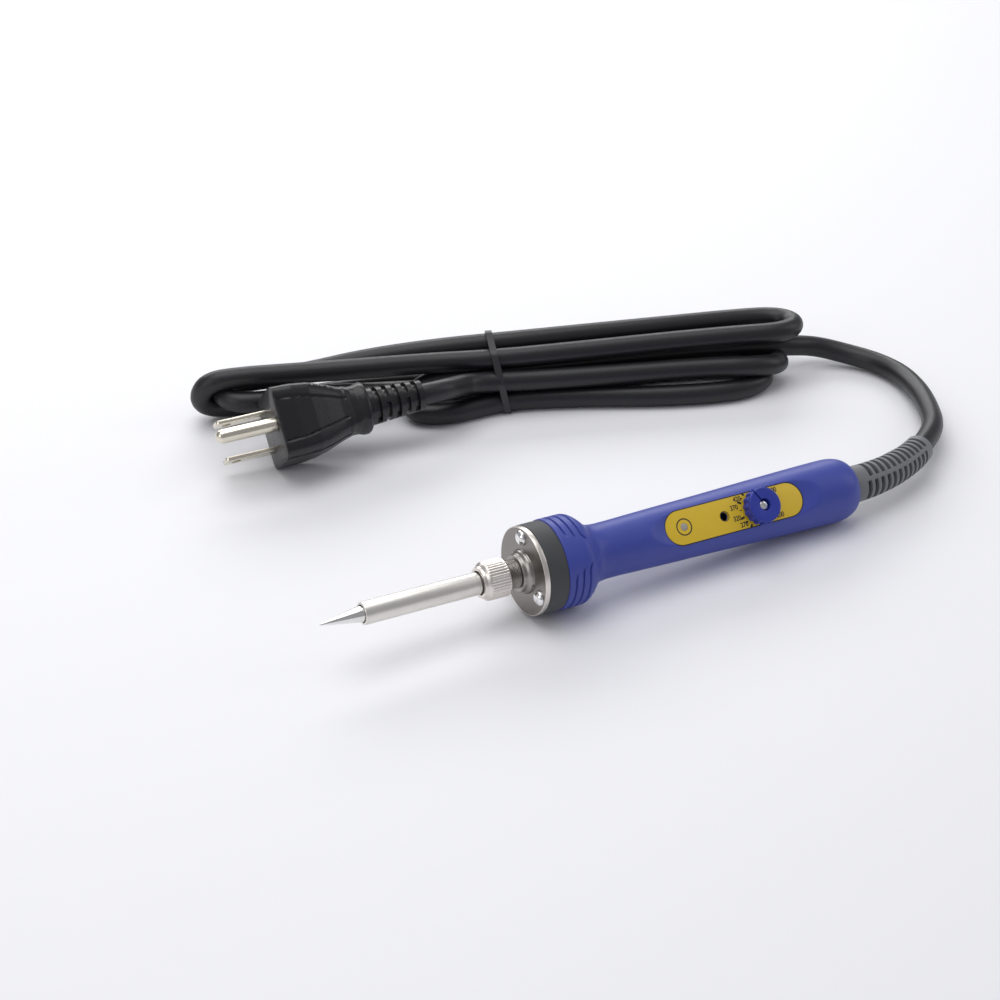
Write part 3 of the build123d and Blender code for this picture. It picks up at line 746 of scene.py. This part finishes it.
def eased_into_label(points):
    """The grip's points lowered near the label, so that the grip slopes up gently from the label's ends.

    The allowed height over the label's plane grows with the distance from the label's outline.
    """
    slope = np.radians(LABEL_SLOPE)
    along = (points[..., 0] - LABEL_X) * np.cos(slope) + (points[..., 2] - LABEL_H) * np.sin(slope)
    height = (points[..., 2] - LABEL_H) * np.cos(slope) - (points[..., 0] - LABEL_X) * np.sin(slope)
    reach = np.maximum(np.abs(along) - (LABEL_LENGTH - LABEL_WIDTH) / 2, 0)
    beyond = np.maximum(np.hypot(reach, points[..., 1]) - LABEL_WIDTH / 2, 0)
    excess = height - 0.12 - 0.26 * beyond
    softness = 0.05 + 0.09 * beyond
    lowered = (excess + np.sqrt(excess ** 2 + softness ** 2)) / 2 * (1 - smooth_step(3.5, 6.0, beyond))
    lowered *= smooth_step(5.6, 6.9, points[..., 2])
    eased = points.copy()
    eased[..., 0] += lowered * np.sin(slope)
    eased[..., 2] -= lowered * np.cos(slope)
    return eased


def make_handle():
    """Handle turned from its outline, with the flange's grooves, the label's pocket and three wells."""
    front = rounded([(RING_REAR_X, SEAT_R, 0), (RING_REAR_X, FLANGE_R, 0.45), (FLANGE_FRONT_X, FLANGE_R, 0)])
    flange_x = np.arange(FLANGE_FRONT_X, FLANGE_REAR_X - 1.2, 0.09)
    flange = np.stack([flange_x, np.full_like(flange_x, FLANGE_R)], 1)
    inside = [(HANDLE_END_X, CORD_HOLE_R), (REAR_WALL_X, CORD_HOLE_R), (REAR_WALL_X, GRIP_BORE_R),
              (SEAT_END_X, GRIP_BORE_R), (SEAT_END_X, SEAT_R), (RING_REAR_X, SEAT_R)]
    outline = np.concatenate([front[:-1], flange, grip_outline(), inside])
    columns = 288
    angle = np.degrees(np.arange(columns) * TAU / columns)
    angle = np.minimum(angle, 360 - angle)[None, :]
    radius = np.repeat(outline[:, 1:2], columns, 1)
    on_flange = (outline[:, :1] > 9.0) & (outline[:, :1] < 19.5) & (outline[:, 1:2] > 10)
    radius = radius - groove_depth(outline[:, :1], angle) * on_flange
    points = eased_into_label(turned_points(outline, columns, radius))
    shell = grid_mesh("handle_shell_skin", points, IRON)
    pocket = prism_mesh("pocket", stadium(LABEL_LENGTH, LABEL_WIDTH), -0.78, 6, DIAL)
    wells = [prism_mesh("well", disc(radius, 40, x), -5, 1, DIAL)
             for x, radius in ((KNOB_X, 1.9), (CAL_X, CAL_R), (LAMP_X, LAMP_R))]
    add_piece("handle_grip", carved(shell, [pocket, *wells]), BLUE, "handle", ["handle_shell"])


def make_heat_ring():
    """Ring turned from a rectangle with eased outer corners."""
    outline = rounded([(PLATE_T, SEAT_R, 0), (PLATE_T, RING_R, 0.55), (RING_REAR_X, RING_R, 0.35),
                       (RING_REAR_X, SEAT_R, 0), (PLATE_T, SEAT_R, 0)])
    mesh = grid_mesh("heat_ring_skin", turned_points(outline, 144), IRON)
    add_piece("heat_ring_rubber", mesh, RING_RUBBER, "handle", ["heat_ring"])


# ------------------------------------------------------------------ metal front end

def make_plate():
    """Flange plate with a bright rounded rim."""
    outline = rounded([(0, PLATE_BORE_R, 0), (0, PLATE_R, 0.22), (PLATE_T, PLATE_R, 0.22),
                       (PLATE_T, PLATE_BORE_R, 0), (0, PLATE_BORE_R, 0)])
    rings = np.stack([np.zeros(14), np.linspace(PLATE_BORE_R, PLATE_R - 0.3, 14)], 1)
    outline = np.concatenate([rings, outline[1:]])
    mesh = grid_mesh("plate_skin", turned_points(outline, 144), IRON)
    add_piece("front_plate", mesh, PLATE_METAL, "handle", ["mounting_plate"])
    rim = rounded([(-0.02, PLATE_R - 0.25, 0), (-0.05, PLATE_R + 0.04, 0.2), (PLATE_T + 0.02, PLATE_R + 0.04, 0.2),
                   (PLATE_T + 0.01, PLATE_R - 0.25, 0), (-0.02, PLATE_R - 0.25, 0)])
    mesh = grid_mesh("plate_rim_skin", turned_points(rim, 144), IRON)
    add_piece("front_plate_rim", mesh, NUT_METAL, "handle", [])


def make_nipple():
    """Nipple with a real helical thread, a step and a boss on the plate."""
    thread_front, thread_rear, pitch = NUT_FRONT_X + NUT_SHOULDER + 1.1, -2.9, 0.56
    spigot_end, spigot_r, bore_r = 4.6, 4.2, 3.0
    columns = 96
    x = np.arange(thread_front, thread_rear, 0.045)
    turns = np.arange(columns) / columns
    phase = (x[:, None] / pitch - turns[None, :]) % 1.0
    ridge = 0.5 - 0.5 * np.cos(TAU * phase)
    thread = THREAD_R - 0.30 + 0.30 * ridge ** 0.8
    back = rounded([(thread_rear, THREAD_R - 0.3, 0), (thread_rear, 5.75, 0.35), (-1.7, 5.9, 0.3),
                    (-0.9, BOSS_EDGE_R, 0.5), (-0.2, 6.9, 0), (0, 7.0, 0), (0, spigot_r, 0),
                    (spigot_end, spigot_r, 0), (spigot_end, bore_r, 0), (thread_front, bore_r, 0)])
    outline = np.concatenate([np.stack([x, x * 0], 1), back, [[thread_front, THREAD_R - 0.3]]])
    radius = np.concatenate([thread, np.repeat(back[:, 1:2], columns, 1), thread[:1]])
    mesh = grid_mesh("nipple_skin", turned_points(outline, columns, radius), IRON)
    add_piece("threaded_nipple_metal", mesh, NIPPLE_METAL, "handle", ["threaded_nipple"], sharp=50)


def make_nut():
    """Nut with straight flutes, a plain chamfer in front and a thin plain rim behind."""
    flutes = 40
    columns = flutes * 8
    front, rear = NUT_FRONT_X, NUT_REAR_X
    top = NUT_R
    outline = rounded([(front, PIPE_R + 0.3, 0), (front, 4.75, 0.15), (front + 0.75, 5.05, 0.2),
                       (front + 1.75, top, 0.35), (rear - 0.35, top, 0.15), (rear, top - 0.4, 0.1),
                       (rear, THREAD_R + 0.15, 0)])
    body = np.stack([np.linspace(front + 2.15, rear - 0.55, 24), np.full(24, top)], 1)
    split = int(np.argmax(outline[:, 0] > front + 2.15))
    inner = [(front + NUT_SHOULDER, THREAD_R + 0.15), (front + NUT_SHOULDER, PIPE_R + 0.3), (front, PIPE_R + 0.3)]
    outline = np.concatenate([outline[:split], body, outline[split:], inner])
    phase = np.arange(columns) * flutes / columns
    flute = (0.5 - 0.5 * np.cos(TAU * phase)) ** 1.6
    where = smooth_step(front + 1.5, front + 2.3, outline[:, 0])
    where = where * (1 - smooth_step(rear - 0.75, rear - 0.5, outline[:, 0]))
    outside = outline[:, 1] > 5.2
    radius = outline[:, 1:2] - 0.16 * (where * outside)[:, None] * flute[None, :]
    mesh = grid_mesh("nut_skin", turned_points(outline, columns, radius), IRON)
    add_piece("fluted_nut", mesh, NUT_METAL, "nut", ["enclosure_nut"], sharp=50)


def make_pipe():
    """Thin pipe with a rolled-in mouth, a neck in the nut and its trapped collar."""
    front, neck = PIPE_FRONT_X, NUT_FRONT_X - 0.5
    collar = NUT_FRONT_X + NUT_SHOULDER + 0.15
    mouth_r = 2.8
    outline = rounded([(front + 1.0, PIPE_BORE_R, 0), (front + 0.85, mouth_r, 0.1), (front, mouth_r, 0.1),
                       (front, PIPE_R, 0.32), (neck, PIPE_R, 0.12), (neck, NECK_R, 0.05), (collar, NECK_R, 0),
                       (collar, COLLAR_R, 0), (collar + 0.8, COLLAR_R, 0), (collar + 0.8, NECK_BORE_R, 0),
                       (neck, NECK_BORE_R, 0), (neck - 0.8, PIPE_BORE_R, 0), (front + 1.0, PIPE_BORE_R, 0)])
    mesh = grid_mesh("pipe_skin", turned_points(outline, 96), IRON)
    add_piece("tip_pipe", mesh, PIPE_METAL, "tip_assembly", ["tip_enclosure"])


def make_tip():
    """Conical tip with a small round point, and its sleeve over the heater."""
    base_x = PIPE_FRONT_X - 0.6
    t = np.linspace(0, np.pi / 2, 7)
    point = np.stack([TIP_X + 0.32 - 0.32 * np.cos(t), 0.32 * np.sin(t)], 1)
    cone = np.stack([np.linspace(TIP_X + 0.5, base_x, 16), np.linspace(0.36, TIP_BASE_R, 16)], 1)
    sleeve_x, sleeve_end, pocket_end, pocket_r = PIPE_FRONT_X + 1.4, -26, -49.5, 2.05
    sleeve = [(sleeve_x, TIP_BASE_R), (sleeve_x, TIP_SLEEVE_R), (sleeve_end, TIP_SLEEVE_R), (sleeve_end, pocket_r),
              (pocket_end, pocket_r), (pocket_end, 0)]
    outline = np.concatenate([point, cone, sleeve])
    mesh = grid_mesh("tip_skin", turned_points(outline, 72), IRON)
    add_piece("conical_tip", mesh, TIP_METAL, "tip_assembly", ["soldering_tip"])


def make_plate_screws():
    """Three pan-head screws with a tapered cross recess, each with its slots at another angle."""
    for index, (place, start) in enumerate(zip(SCREW_ANGLES, (18, 50, 33))):
        matrix = IRON @ turn("X", -place) @ shift(0, 0, SCREW_CIRCLE_R) @ turn("X", start)
        outline = rounded([(-1.55, 0, 0), (-1.5, 1.3, 0.6), (-0.6, SCREW_HEAD_R, 0.5), (0.02, SCREW_HEAD_R, 0),
                           (0.02, 1.0, 0), (14.5, 1.0, 0), (14.5, 0, 0)], steps=7)
        head = grid_mesh("screw_head", turned_points(outline, 64), matrix)
        slots = []
        for wing in (0, 90):
            blade = prism_mesh("blade", [(-1.8, -1.5), (-1.8, 1.5), (-0.6, 0.6), (-0.6, -0.6)], -0.33, 0.33,
                               matrix @ turn("X", wing))
            slots.append(blade)
        add_piece("plate_screw_%d" % (index + 1), carved(head, slots), CHROME, "handle",
                  ["plate_screws"] if index == 0 else [])


# ------------------------------------------------------------------ dial

def make_label():
    """Film with the label's slot outline, bored for the shaft, the calibration hole and the lamp."""
    outline = stadium(LABEL_LENGTH - 0.12, LABEL_WIDTH - 0.12)
    film = prism_mesh("label_skin", outline, -0.76, 0, DIAL, 0.05)
    holes = [prism_mesh("hole", disc(radius, 40, x), -2, 1, DIAL)
             for x, radius in ((KNOB_X, 1.95), (CAL_X, CAL_R), (LAMP_X, LAMP_R))]
    add_piece("dial_label_film", carved(film, holes), LABEL_FILM, "handle", ["dial_label"])


def print_on_label(name, outer, inner=None, lift=0.02):
    """Thin ink shape on the label, with an opening when an inner outline is given."""
    shape = prism_mesh(name, outer, -0.05, lift, DIAL)
    if inner is not None:
        shape = carved(shape, [prism_mesh("opening", inner, -1, 1, DIAL)])
    add_piece(name, shape, LABEL_INK, "handle", [])


def make_number(word, x, y, height=1.55, squeeze=0.84):
    """Dial number centred on a point of the label and upright across it."""
    curve = bpy.data.curves.new("number", "FONT")
    curve.body = word
    curve.size = height / 0.70
    curve.align_x = "CENTER"
    curve.align_y = "CENTER"
    curve.offset = 0.05
    writer = bpy.data.objects.new("number", curve)
    bpy.context.scene.collection.objects.link(writer)
    flat = bpy.data.meshes.new_from_object(writer.evaluated_get(bpy.context.evaluated_depsgraph_get()))
    bpy.data.objects.remove(writer)
    shell = bmesh.new()
    shell.from_mesh(flat)
    flat_faces = shell.faces[:]
    raised = bmesh.ops.extrude_face_region(shell, geom=flat_faces)["geom"]
    lifted = [part for part in raised if isinstance(part, bmesh.types.BMVert)]
    bmesh.ops.translate(shell, verts=lifted, vec=(0, 0, 0.045))
    shell.to_mesh(flat)
    shell.free()
    flat.transform(Matrix(DIAL @ shift(x, y, -0.02) @ np.diag([squeeze, 1, 1, 1])))
    add_piece("dial_number_" + word, flat, LABEL_INK, "handle", [], sharp=30)


def make_dial_print():
    """Outline, rings, numbers and ticks in ink. Ticks point away from the knob's middle."""
    print_on_label("label_outline", stadium(LABEL_LENGTH - 0.08, LABEL_WIDTH - 0.08),
                   stadium(LABEL_LENGTH - 0.62, LABEL_WIDTH - 0.62))
    print_on_label("calibration_ring", disc(CAL_R + 0.22, 48, CAL_X), disc(CAL_R + 0.02, 48, CAL_X))
    print_on_label("lamp_ring", disc(2.75, 64, LAMP_X), disc(2.35, 64, LAMP_X))
    for word, x, y in (("420", 2.2, 4.2), ("370", 0.3, 1.75), ("320", 0.35, -1.75), ("270", 2.2, -4.1),
                       ("500", 15.6, 4.1), ("200", 15.7, -4.0)):
        make_number(word, x, y)
    ticks = ((129, 0.34, 7.6), (155, 0.34, 7.6), (-163, 0.34, 7.6), (-131, 0.34, 7.6),
             (142, 0.2, 7.0), (176, 0.12, 7.0), (-147, 0.2, 7.0))
    for index, (angle, half, reach) in enumerate(ticks):
        along = np.array([np.cos(np.radians(angle)), np.sin(np.radians(angle))])
        side = np.array([-along[1], along[0]]) * half
        centre = np.array([KNOB_X, 0])
        reach = min(reach, 5.45 / max(abs(along[1]), 0.01))
        if reach > 6.4:
            near, far = centre + along * 6.15, centre + along * reach
            print_on_label("dial_tick_%d" % (index + 1), [near - side, far - side, far + side, near + side])


def make_lens():
    """Domed lamp lens set flush in the label."""
    side_r = LAMP_R - 0.05
    outline = np.array([(-5.5, 0), (-5.5, side_r), (-0.02, side_r), (0.10, 1.0), (0.18, 0.6), (0.2, 0)])
    mesh = grid_mesh("lens_skin", upright(turned_points(outline, 40)), DIAL @ shift(LAMP_X, 0, 0))
    add_piece("lamp_lens_dome", mesh, LENS, "handle", ["indicator_lens"])


def make_knob():
    """Knob with sixteen nubs under a rounded top, a pointer groove and a well for its screw."""
    nubs = 16
    columns = nubs * 18
    outline = rounded([(0.4, 1.5, 0), (0.4, 5.35, 0), (0.45, KNOB_SIDE_R, 0.05), (3.35, KNOB_SIDE_R, 0),
                       (3.5, 5.55, 0), (KNOB_TOP, 5.6, 0.5), (KNOB_TOP + 0.02, 4.6, 0),
                       (KNOB_TOP - 0.04, 1.98, 0.12), (2.1, 1.95, 0),
                       (2.1, 1.5, 0), (0.4, 1.5, 0)], steps=7)
    side = np.stack([np.linspace(0.5, 3.4, 20), np.full(20, KNOB_SIDE_R)], 1)
    split = int(np.argmax(outline[:, 0] > 0.5))
    outline = np.concatenate([outline[:split], side, outline[split:]])
    phase = np.arange(columns) * nubs / columns
    nub = smooth_step(0.16, 0.30, 0.5 - np.abs(phase % 1.0 - 0.5))
    low = smooth_step(0.42, 0.6, outline[:, 0]) * (1 - smooth_step(3.0, 3.35, outline[:, 0]))
    outside = outline[:, 1] > 5.2
    radius = outline[:, 1:2] + 0.44 * (low * outside)[:, None] * nub[None, :]
    mesh = grid_mesh("knob_skin", upright(turned_points(outline, columns, radius)), DIAL @ shift(KNOB_X, 0, 0))
    pointer = DIAL @ shift(KNOB_X, 0, 0) @ turn("Z", POINTER_ANGLE)
    groove = prism_mesh("groove", box_outline(1.2, 6.4, -0.3, 0.3), KNOB_TOP - 0.5, KNOB_TOP + 1, pointer)
    add_piece("dial_knob", carved(mesh, [groove]), KNOB_BLUE, "knob", ["temperature_knob"])


def make_knob_screw():
    """Low domed head in the knob's well, with two crossed slots."""
    matrix = DIAL @ shift(KNOB_X, 0, 0)
    outline = rounded([(2.12, 0, 0), (2.12, 1.6, 0), (3.45, 1.6, 0.35), (3.75, 0.9, 0.3), (3.8, 0, 0)])
    head = grid_mesh("knob_screw_skin", upright(turned_points(outline, 48)), matrix)
    slots = [prism_mesh("slot", box_outline(-0.75, 0.75, -0.17, 0.17), 3.2, 5, matrix @ turn("Z", angle))
             for angle in (30, 120)]
    add_piece("knob_fixing_screw", carved(head, slots), CHROME, "knob", ["knob_screw"])


# ------------------------------------------------------------------ boot

BOOT_R = (6.15, 4.95)
BOOT_COLLAR = 4.3
BOOT_ROWS = 12
BOOT_BAND_HALF = 8.0
BOOT_SLOT_DEPTH = 1.5
BOOT_STRAIGHT = 1.5
BOOT_LENGTH = BOOT_STRAIGHT + BOOT_BEND_R * np.radians(BOOT_BEND)


def boot_frame(along):
    """Centres and side vectors of the boot's axis, a straight start and an arc, at distances along it."""
    turned_by = np.clip(along - BOOT_STRAIGHT, 0, None) / BOOT_BEND_R
    x = HANDLE_END_X + np.minimum(along, BOOT_STRAIGHT) + BOOT_BEND_R * np.sin(turned_by)
    y = BOOT_BEND_R * (1 - np.cos(turned_by))
    centre = np.stack([x, y, np.zeros_like(x)], -1)
    side = np.stack([-np.sin(turned_by), np.cos(turned_by), np.zeros_like(x)], -1)
    return centre, side


def boot_point(along):
    """Centre of the boot's axis, carried on straight past its end."""
    centre, side = boot_frame(np.array([min(along, BOOT_LENGTH)]))
    beyond = np.cross(side[0], (0, 0, 1.0)) * max(along - BOOT_LENGTH, 0)
    return centre[0] + beyond


def bent_tube(along, radius, angles):
    """Grid round the boot's axis: angles are from +Z towards the dial's side."""
    centre, side = boot_frame(along)
    turns = np.radians(angles)
    across = -side[:, None, :] * np.sin(turns)[None, :, None]
    up = np.array([0, 0, 1.0])[None, None, :] * np.cos(turns)[None, :, None]
    return centre[:, None, :] + radius[..., None] * (across + up)


def make_boot():
    """Tapered rubber boot with four staggered rows of slots between plain bands."""
    length = BOOT_LENGTH
    pitch = (length - BOOT_COLLAR - 2.0) / (BOOT_ROWS + 0.5)
    edges = BOOT_COLLAR + pitch / 2 * np.arange(2 * BOOT_ROWS + 2)
    stations = np.concatenate([edges - 0.09, edges + 0.09, edges + pitch / 4])
    stations = np.sort(np.concatenate([[0.0, 0.4, 2.0, length - 0.9, length - 0.5, length - 0.2, length],
                                       stations[stations < length - 1.0]]))
    quarter = np.array([0, 3, 5, 7.6, 10.4, 14, 18, 22, 26, 30, 34, 38, 42, 45, 48, 52, 56, 60, 64, 68, 72, 76,
                        79.6, 82.4, 85, 87])
    angles = DIAL_ROLL + np.concatenate([quarter + 90 * k for k in range(4)])
    share = stations / length
    outside = BOOT_R[0] + (BOOT_R[1] - BOOT_R[0]) * share
    outside -= 0.35 * smooth_step(length - 0.6, length, stations) ** 2
    radius = np.repeat(outside[:, None], len(angles), 1)
    for row in range(4):
        local = (angles - DIAL_ROLL - 90 * row - 45) % 360
        local = np.minimum(local, 360 - local)
        inside = 1 - smooth_step(45 - BOOT_BAND_HALF - 1.4, 45 - BOOT_BAND_HALF + 1.4, local)
        for index in range(BOOT_ROWS):
            start = BOOT_COLLAR + pitch * (index + 0.5 * (row % 2))
            slot = smooth_step(start - 0.08, start + 0.08, stations)
            slot = slot * (1 - smooth_step(start + pitch / 2 - 0.08, start + pitch / 2 + 0.08, stations))
            radius -= BOOT_SLOT_DEPTH * slot[:, None] * inside[None, :]
    bore = CORD_D / 2 + 0.02
    closing = np.repeat([[bore], [bore], [outside[0]]], len(angles), 1)
    along = np.concatenate([stations, [length, 0.0, 0.0]])
    points = bent_tube(along, np.concatenate([radius, closing]), angles)
    mesh = grid_mesh("boot_skin", points, UPRIGHT)
    add_piece("bend_relief_boot", mesh, BOOT_RUBBER, "handle", ["strain_relief"], sharp=40)
    # Dark core inside the boot, seen through its slots. It stands for the cord within, and its finish is darker and
    # duller than the cord's, as painted shade in the slots.
    along = np.concatenate([[0.3], np.linspace(0.3, length - 0.5, 50), [length - 0.5]])
    core = np.interp(along, [0, length], [BOOT_R[0] - 1.25, BOOT_R[1] - 1.1])
    core[0] = 0
    core[-1] = 0
    core_angles = np.arange(48) * 7.5
    points = bent_tube(along, np.repeat(core[:, None], 48, 1), core_angles)
    mesh = grid_mesh("boot_core_shade_skin", points, UPRIGHT)
    add_piece("boot_core_shade", mesh, SLOT_SHADE, "handle", [])


# ------------------------------------------------------------------ plug

def plug_radius(half_y, half_z, power, angles):
    """Radius of a rounded rectangle in each direction: a superellipse."""
    y = np.abs(np.sin(angles)) / half_y
    z = np.abs(np.cos(angles)) / half_z
    return (y ** power + z ** power) ** (-1 / power)


PLUG_TAIL_X = -53.0
PLUG_GROOVES = -36.2 - 3.5 * np.arange(5)


def make_plug_body():
    """Moulded plug: square front, a stepped panel on each side, a waist, a collar and a grooved boot."""
    columns = 288
    angles = np.arange(columns) * TAU / columns
    sections = np.array([
        # station, half width, half height, squareness
        (0.0, 11.6, 11.6, 8.0), (-0.25, 12.25, 12.25, 9.0), (-0.9, 12.5, 12.5, 9.0), (-7.0, 12.2, 12.4, 8.0),
        (-13.0, 11.2, 11.9, 7.0), (-18.0, 9.9, 10.7, 5.5), (-23.0, 8.5, 9.0, 4.5), (-27.0, 7.7, 7.9, 3.6),
        (-29.0, 7.9, 8.0, 3.0), (-31.0, 8.6, 8.7, 2.6), (-32.2, 8.7, 8.8, 2.4), (-32.9, 8.2, 8.3, 2.2),
        (-33.3, 6.6, 6.6, 2.0), (PLUG_TAIL_X, 5.2, 5.2, 2.0),
    ])
    stations = np.concatenate([[0, -0.12, -0.25, -0.5, -0.9], -np.arange(1.2, 33.0, 0.3), [-32.9, -33.0, -33.3]])
    edges = [PLUG_GROOVES + offset for offset in (0.85, 0.7, -0.7, -0.85)]
    stations = np.concatenate([stations, *edges, [PLUG_TAIL_X + 0.4, PLUG_TAIL_X]])
    stations = np.unique(stations)[::-1]
    order = np.argsort(sections[:, 0])
    half_y, half_z, power = (np.interp(stations, sections[order, 0], sections[order, k]) for k in (1, 2, 3))
    radius = plug_radius(half_y[:, None], half_z[:, None], power[:, None], angles[None, :])
    y = radius * np.sin(angles)[None, :]
    z = radius * np.cos(angles)[None, :]
    depth = np.zeros_like(radius)
    for across, facing in ((y, z), (z, y)):
        on_face = np.abs(facing) > np.abs(across)
        waist = np.interp(-stations, [0, 9, 20, 27], [7.6, 7.0, 4.6, 2.6])[:, None]
        along = (smooth_step(-25.5, -24.3, stations) * (1 - smooth_step(-1.0, -0.3, stations)))[:, None]
        lip = np.abs(np.abs(across) - waist)
        depth += on_face * along * 0.75 * (1 - smooth_step(0.0, 0.75, lip))
        depth += on_face * along * 0.35 * smooth_step(waist, waist + 0.5, np.abs(across))
    for index, middle in enumerate(PLUG_GROOVES):
        groove = smooth_step(middle - 0.83, middle - 0.7, stations)
        groove = groove * (1 - smooth_step(middle + 0.7, middle + 0.83, stations))
        shift_by = 90.0 * (index % 2)
        turned_angle = (np.degrees(angles) + shift_by) % 180
        gap = smooth_step(9, 13, np.minimum(turned_angle, 180 - turned_angle))
        depth += 1.25 * groove[:, None] * gap[None, :]
    radius = radius - depth
    outline = np.stack([stations, stations * 0], 1)
    outline = np.concatenate([[[0, 0]], outline, [[PLUG_TAIL_X, 0]]])
    zero = np.zeros((1, columns))
    points = turned_points(outline, columns, np.concatenate([zero, radius, zero]))
    mesh = grid_mesh("plug_skin", points, PLUG @ shift(0, PLUG_BODY_Y, 0))
    return add_piece("plug_moulding", mesh, PLUG_VINYL, "handle", ["plug_body"], sharp=32)


BLADE_HALF_W = 3.17
GROUND_PIN_R = 2.4
GROUND_PIN_LENGTH = 20.8


def make_blades():
    """Two flat blades with eased edges, a tapered end and a hole."""
    made = []
    for index, side in enumerate((1, -1)):
        matrix = PLUG @ shift(0, 0, side * BLADE_PITCH / 2)
        lower = [(-8, -BLADE_HALF_W), (16.4, -BLADE_HALF_W), (17.2, -2.7), (17.6, -1.9)]
        outline = lower + [(x, -y) for x, y in reversed(lower)]
        blade = prism_mesh("blade_skin", outline, -0.75, 0.75, matrix, 0.28)
        hole = prism_mesh("hole", disc(1.6, 40, 13.6), -2, 2, matrix)
        made.append(add_piece("plug_blade_%d" % (index + 1), carved(blade, [hole]), PIN_METAL, "handle",
                              ["plug_blades"] if index == 0 else []))
    return made


def make_ground_pin():
    """Round earth pin with a domed end and a fine collar at the plug's face."""
    t = np.linspace(0, np.pi / 2, 12)
    dome = np.stack([GROUND_PIN_LENGTH - GROUND_PIN_R + GROUND_PIN_R * np.cos(t), GROUND_PIN_R * np.sin(t)], 1)
    shank = [(12, GROUND_PIN_R), (6, GROUND_PIN_R), (0.2, GROUND_PIN_R), (0.2, 2.0), (-8, 2.0), (-8, 0)]
    outline = np.concatenate([dome, shank])
    mesh = grid_mesh("earth_pin_skin", turned_points(outline, 64), PLUG @ shift(0, GROUND_OFFSET, 0))
    return add_piece("earth_pin", mesh, PIN_METAL, "handle", ["ground_pin"])


# ------------------------------------------------------------------ tie

TIE_W = 2.6
TIE_T = 0.7
TIE_LEAN = 0.20
TIE_STRANDS = ((1.0, 11.2), (-7.7, 3.7), (1.8, 3.7), (5.2, 20.2), (-2.6, 17.7), (9.3, 3.7), (-7.4, 11.2))


def make_tie():
    """Flat tie pulled round the seven strands of the hank: their common outline, a little way out."""
    turns = np.arange(180) * TAU / 180
    direction = np.stack([np.cos(turns), np.sin(turns)], 1)
    strands = np.array(TIE_STRANDS)
    nearest = strands[np.argmax(strands @ direction.T, axis=0)]
    inner = nearest + direction * (CORD_D / 2 + 0.05)
    outer = nearest + direction * (CORD_D / 2 + 0.05 + TIE_T)
    inner[:, 1] = np.maximum(inner[:, 1], 0.12)
    outer[:, 1] = np.maximum(outer[:, 1], 0.03)
    half = TIE_W / 2
    rings = [(inner, -half), (outer, -half + 0.12), (outer, half - 0.12), (inner, half), (inner, -half)]
    points = np.stack([np.column_stack([along - TIE_LEAN * (ring[:, 1] - 12), ring]) for ring, along in rings])
    angle = np.radians(HANK_ANGLE)
    matrix = placement((np.cos(angle), np.sin(angle), 0), np.array([0, 0, 1.0]),
                       np.array([HANK_CENTRE[0], HANK_CENTRE[1], 0]) * MM)
    mesh = grid_mesh("tie_skin", points, matrix)
    return add_piece("hank_tie_band", mesh, TIE_PLASTIC, "handle", ["hank_tie"])


# ------------------------------------------------------------------ the whole object

KEPT_FINISHES = {
    CERAMIC: ("heater_rod", "heater_holder"),
    WIRE_SLEEVE: ("heater_leads",),
    SPRING_STEEL: ("earth_spring", "potentiometer_shaft", "calibration_rotor"),
    DARK_PLASTIC: ("potentiometer_body", "power_triac", "control_chip", "cord_clamp", "plug_bridge"),
    BOARD: ("circuit_board",),
    TRIMMER_BLUE: ("calibration_trimmer",),
    LENS: ("indicator_led",),
    CAPACITOR_RED: ("film_capacitor",),
    RESISTOR_TAN: ("resistors",),
    CORD_VINYL: ("cord_entry",),
    CORE_VINYL: ("cord_cores",),
}


def finish_kept_nodes():
    """Gives each CAD node that stays visible its finish, in all of its slots."""
    for material, names in KEPT_FINISHES.items():
        for name in names:
            for place in frame["nodes"][name].material_slots:
                place.material = material


make_handle()
make_heat_ring()
make_plate()
make_nipple()
make_nut()
make_pipe()
make_tip()
make_plate_screws()
make_label()
make_dial_print()
make_lens()
make_knob()
make_knob_screw()
make_boot()
on_cord = [make_plug_body(), *make_blades(), make_ground_pin(), make_tie(), "plug_bridge"]
finish_kept_nodes()
cord, route = make_cord(CORD_VINYL)
